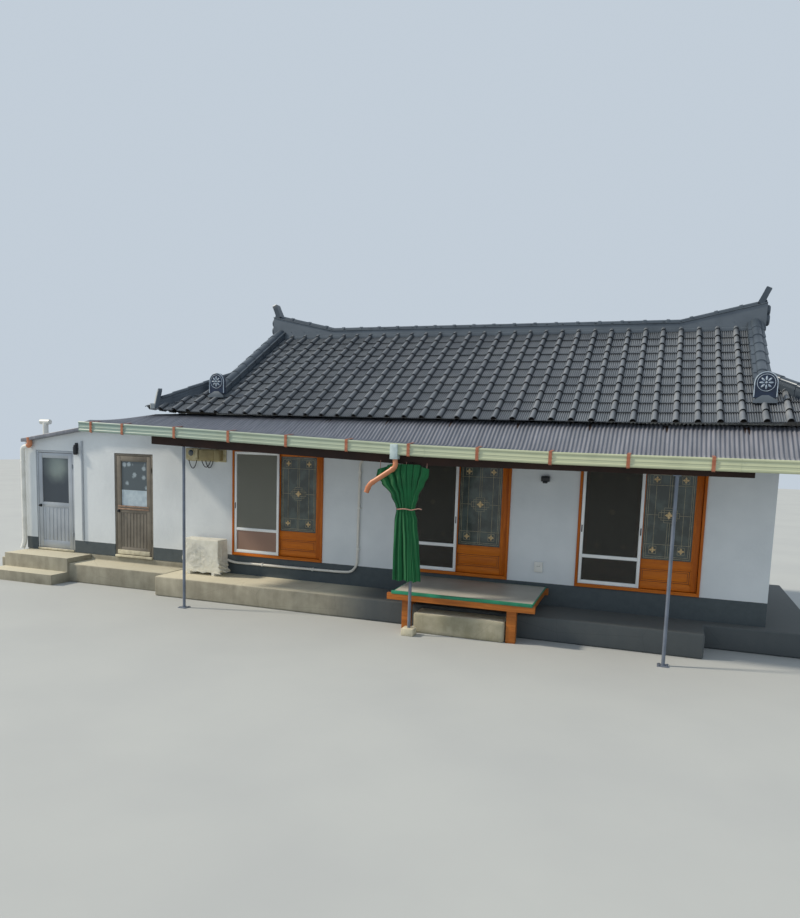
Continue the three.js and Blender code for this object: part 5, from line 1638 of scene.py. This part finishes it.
def curtain_point(s, z):
    """A point of the cloth, s across it from 0 to 1 at height z, and the phase of its fold there."""
    middle, half, depth = form_at(z)
    waist = math.exp(-((z - TIE_Z) / 0.16) ** 2)
    drift = 1.3 * math.sin(1.7 * z + 5 * s) + 1.5 * math.sin(8 * s + 1) + 0.7 * math.sin(3.1 * z - 11 * s)
    phase = 2 * math.pi * CURTAIN_FOLDS * s + drift * (1 - 0.5 * waist)
    fold = (math.sin(phase) * (0.8 + 0.35 * math.sin(9 * s + 2 * z)) + 0.3 * math.sin(1.9 * phase + 1.3)
            + 0.13 * math.sin(4.6 * phase + 3 * z))
    edge = math.exp(-((CURTAIN_FORM[0][0] - z) / 0.22) ** 2)
    droop = edge * (0.1 * max(0.0, 1 - s / 0.3) + 0.06 * max(0.0, (s - 0.8) / 0.2))
    return (middle + half * (2 * s - 1) + 0.014 * math.cos(phase), CURTAIN_Y + depth * fold * 0.82,
            z - droop), phase


def make_cloth():
    """The gathered net, hung in folds from its loops and drawn in at the waist."""
    across, down = 260, 90
    top, bottom = CURTAIN_FORM[0][0], CURTAIN_FORM[-1][0]
    shape = bmesh.new()
    grid = []
    for j in range(down + 1):
        row = []
        for i in range(across + 1):
            (x, y, z), phase = curtain_point(i / across, top + (bottom - top) * j / down)
            if j == down:
                z += 0.012 * math.sin(phase * 0.5)
            row.append(shape.verts.new((x, y, z)))
        grid.append(row)
    for row, after in zip(grid, grid[1:]):
        for i in range(across):
            shape.faces.new((row[i], after[i], after[i + 1], row[i + 1]))
    mesh = bpy.data.meshes.new("shade_curtain_cloth")
    shape.to_mesh(mesh)
    shape.free()
    cloth = placed("shade_curtain_cloth", mesh, "net", angle=180)
    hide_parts("shade_curtain")
    return cloth


def make_curtain():
    """Green net gathered into folds, tied at its waist and hung from the beam on loops."""
    cloth = make_cloth()
    tie, loops = bmesh.new(), bmesh.new()
    girdle = [(-0.412 + 0.128 * math.cos(a), CURTAIN_Y + 0.046 * math.sin(a), TIE_Z + 0.006 * math.sin(3 * a))
              for a in (2 * math.pi * k / 32 for k in range(33))]
    tube(tie, girdle, 0.009, 8)
    tube(tie, rounded([(-0.29, CURTAIN_Y - 0.03, TIE_Z), (-0.24, CURTAIN_Y - 0.04, TIE_Z + 0.01),
                       (-0.19, CURTAIN_Y - 0.04, TIE_Z + 0.023), (-0.15, CURTAIN_Y - 0.035, TIE_Z + 0.01)],
                      0.04), 0.007, 8)
    made_tie = piece("curtain_tie", tie, "tie")
    for x, hem in ((-0.82, 2.37), (-0.42, 2.47), (-0.11, 2.42)):
        tube(loops, [(x, CURTAIN_Y + 0.004, hem), (x, CURTAIN_Y + 0.012, hem + 0.03),
                     (x, CURTAIN_Y + 0.026, value_on(BEAM_LINE, x) - 0.002)], 0.005, 8)
    made_loops = piece("curtain_loops", loops, "tie")


# Fittings on the walls


def make_meters():
    """The electricity meter and breaker box on their board, with leads looping out below."""
    low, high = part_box("meter_boxes")
    plate, left, right, dome, leads = (bmesh.new() for _ in range(5))
    meter_x, meter_z, out = -5.03, 2.52, (0, -1, 0)
    block(plate, (low.x, -0.022, 2.37), (high.x + 0.02, -GAP, 2.6), 0.004)
    block(left, (low.x + 0.02, -0.125, 2.39), (-4.905, -0.02, 2.605), 0.02)
    turned(left, (meter_x, -0.124, meter_z), out, [(0, 0.07), (0.012, 0.07), (0.018, 0.06)], 28)
    block(right, (-4.88, -0.115, 2.39), (-4.43, -0.02, 2.585), 0.012)
    for x0, x1 in ((-4.87, -4.57), (-4.56, -4.44)):
        block(right, (x0, -0.121, 2.4), (x1, -0.113, 2.575), 0.004)
    turned(dome, (meter_x, -0.14, meter_z), out, [(0, 0.058), (0.012, 0.05), (0.018, 0.03)], 28)
    for x0, x1, drop, y in ((-5.13, -4.96, 0.16, -0.06), (-4.85, -4.66, 0.13, -0.07),
                            (-4.78, -4.62, 0.14, -0.05)):
        tube(leads, [(x0 + (x1 - x0) * k / 16, y, 2.4 - drop * math.sin(math.pi * k / 16) ** 0.7)
                     for k in range(17)], 0.008, 8)
    made = piece("meter_backboard", plate, "meter")
    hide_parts("meter_boxes")
    for name, shape, material in (("meter_case", left, "meter"), ("meter_window", dome, "dim_glass"),
                                  ("breaker_box", right, "meter_box"), ("meter_leads", leads, "cable")):
        piece(name, shape, material)


def make_wrapped_pipe():
    """The cooling unit's taped pipe along the wall's foot and up into the wall, on clips."""
    wrapped, clips = bmesh.new(), bmesh.new()
    route = [(-4.32, -0.09, 0.62), (-4.18, -0.035, 0.565), (-3.2, -0.03, 0.57), (-2.1, -0.03, 0.575),
             (-1.86, -0.032, 0.59), (-1.76, -0.03, 0.72), (-1.75, -0.028, 2.44), (-1.72, -0.02, 2.49),
             (-1.72, 0.004, 2.5)]
    tube(wrapped, rounded(route, 0.12), 0.022, 14)
    for x in (-3.6, -2.6):
        block(clips, (x - 0.012, -0.056, 0.545), (x + 0.012, -GAP, 0.6), 0.003)
    for z in (1.0, 1.7, 2.3):
        block(clips, (-1.78, -0.053, z - 0.012), (-1.72, -GAP, z + 0.012), 0.003)
    piece("wrapped_pipe", wrapped, "tape")
    piece("pipe_clips", clips, "pvc_white")


def make_pipes():
    """The wrapped pipe, and the washroom's white drain, its brown elbow and its vent."""
    make_wrapped_pipe()
    white, brown, strip = bmesh.new(), bmesh.new(), bmesh.new()
    x, y, pipe = -9.06, -0.075, 0.045
    drain = [(-8.9, y, 2.53), (x, y, 2.5), (x, y, 0.62), (x - 0.02, y - 0.05, 0.46)]
    tube(white, rounded(drain, 0.1), pipe, 16)
    for z in (0.9, 2.2):
        collar(white, (x, y, z), (0, 0, 1), pipe, pipe + 0.005, 0.03, 0.003, 16)
    vent_x, vent_y = -8.93, 0.4
    tube(white, [(vent_x, vent_y, 2.7), (vent_x, vent_y, 3.0)], 0.055, 16)
    tube(white, [(vent_x - 0.12, vent_y, 3.02), (vent_x + 0.12, vent_y, 3.02)], 0.05, 16)
    tube(brown, rounded([(-8.92, y, 2.53), (-8.87, y, 2.55), (-8.87, y - 0.01, 2.7)], 0.05), 0.05, 16)
    tube(strip, [(-7.62, -0.014, 0.71), (-7.62, -0.014, 2.66)], 0.012, 10)
    block(strip, (-7.66, -0.012, 0.71), (-7.642, -GAP, 2.66), 0.003)
    piece("washroom_corner_strip", strip, "mill_metal")
    piece("washroom_pipes", white, "pvc_white")
    piece("washroom_elbow", brown, "pvc_brown")


def make_fittings():
    """Wall lamps, and the outlet box by the middle door."""
    dark, white, holes = bmesh.new(), bmesh.new(), bmesh.new()
    block(dark, (1.29, -0.075, 2.29), (1.42, -GAP, 2.375), 0.012)
    block(dark, (1.32, -0.1, 2.265), (1.39, -0.02, 2.3), 0.01)
    turned(dark, (-7.755, -0.045, 2.39), (0, 0, 1),
           [(0, 0.03), (0.02, 0.045), (0.14, 0.045), (0.19, 0.03), (0.2, 0.01)], 20)
    block(dark, (-7.785, -0.03, 2.46), (-7.725, -GAP, 2.62), 0.006)
    block(white, (1.25, -0.045, 0.87), (1.38, -GAP, 1.03), 0.01)
    block(white, (1.27, -0.052, 0.89), (1.36, -0.04, 1.01), 0.005)
    for x in (1.3, 1.33):
        turned(holes, (x, -0.0515, 0.965), (0, -1, 0), [(0, 0.006), (0.002, 0.006)], 10)
    piece("wall_lamps", dark, "lamp")
    piece("outlet_box", white, "pvc_white")
    piece("outlet_sockets", holes, "lamp")


finishes = make_materials()
trees = {"repeat": repeat_tree(), "wave": wave_tree()}
make_camera()
make_light()
make_floor()
make_tiles()
make_corner_ridges()
make_main_ridge()
make_eaves()
make_walls()
make_base()
make_sheet()
make_beam()
make_rafters()
make_gutter()
make_straps()
make_outlet()
make_posts()
make_units()
make_doors()
make_windows()
make_bench()
make_cooler()
make_curtain()
make_meters()
make_pipes()
make_fittings()

bpy.context.view_layer.update()
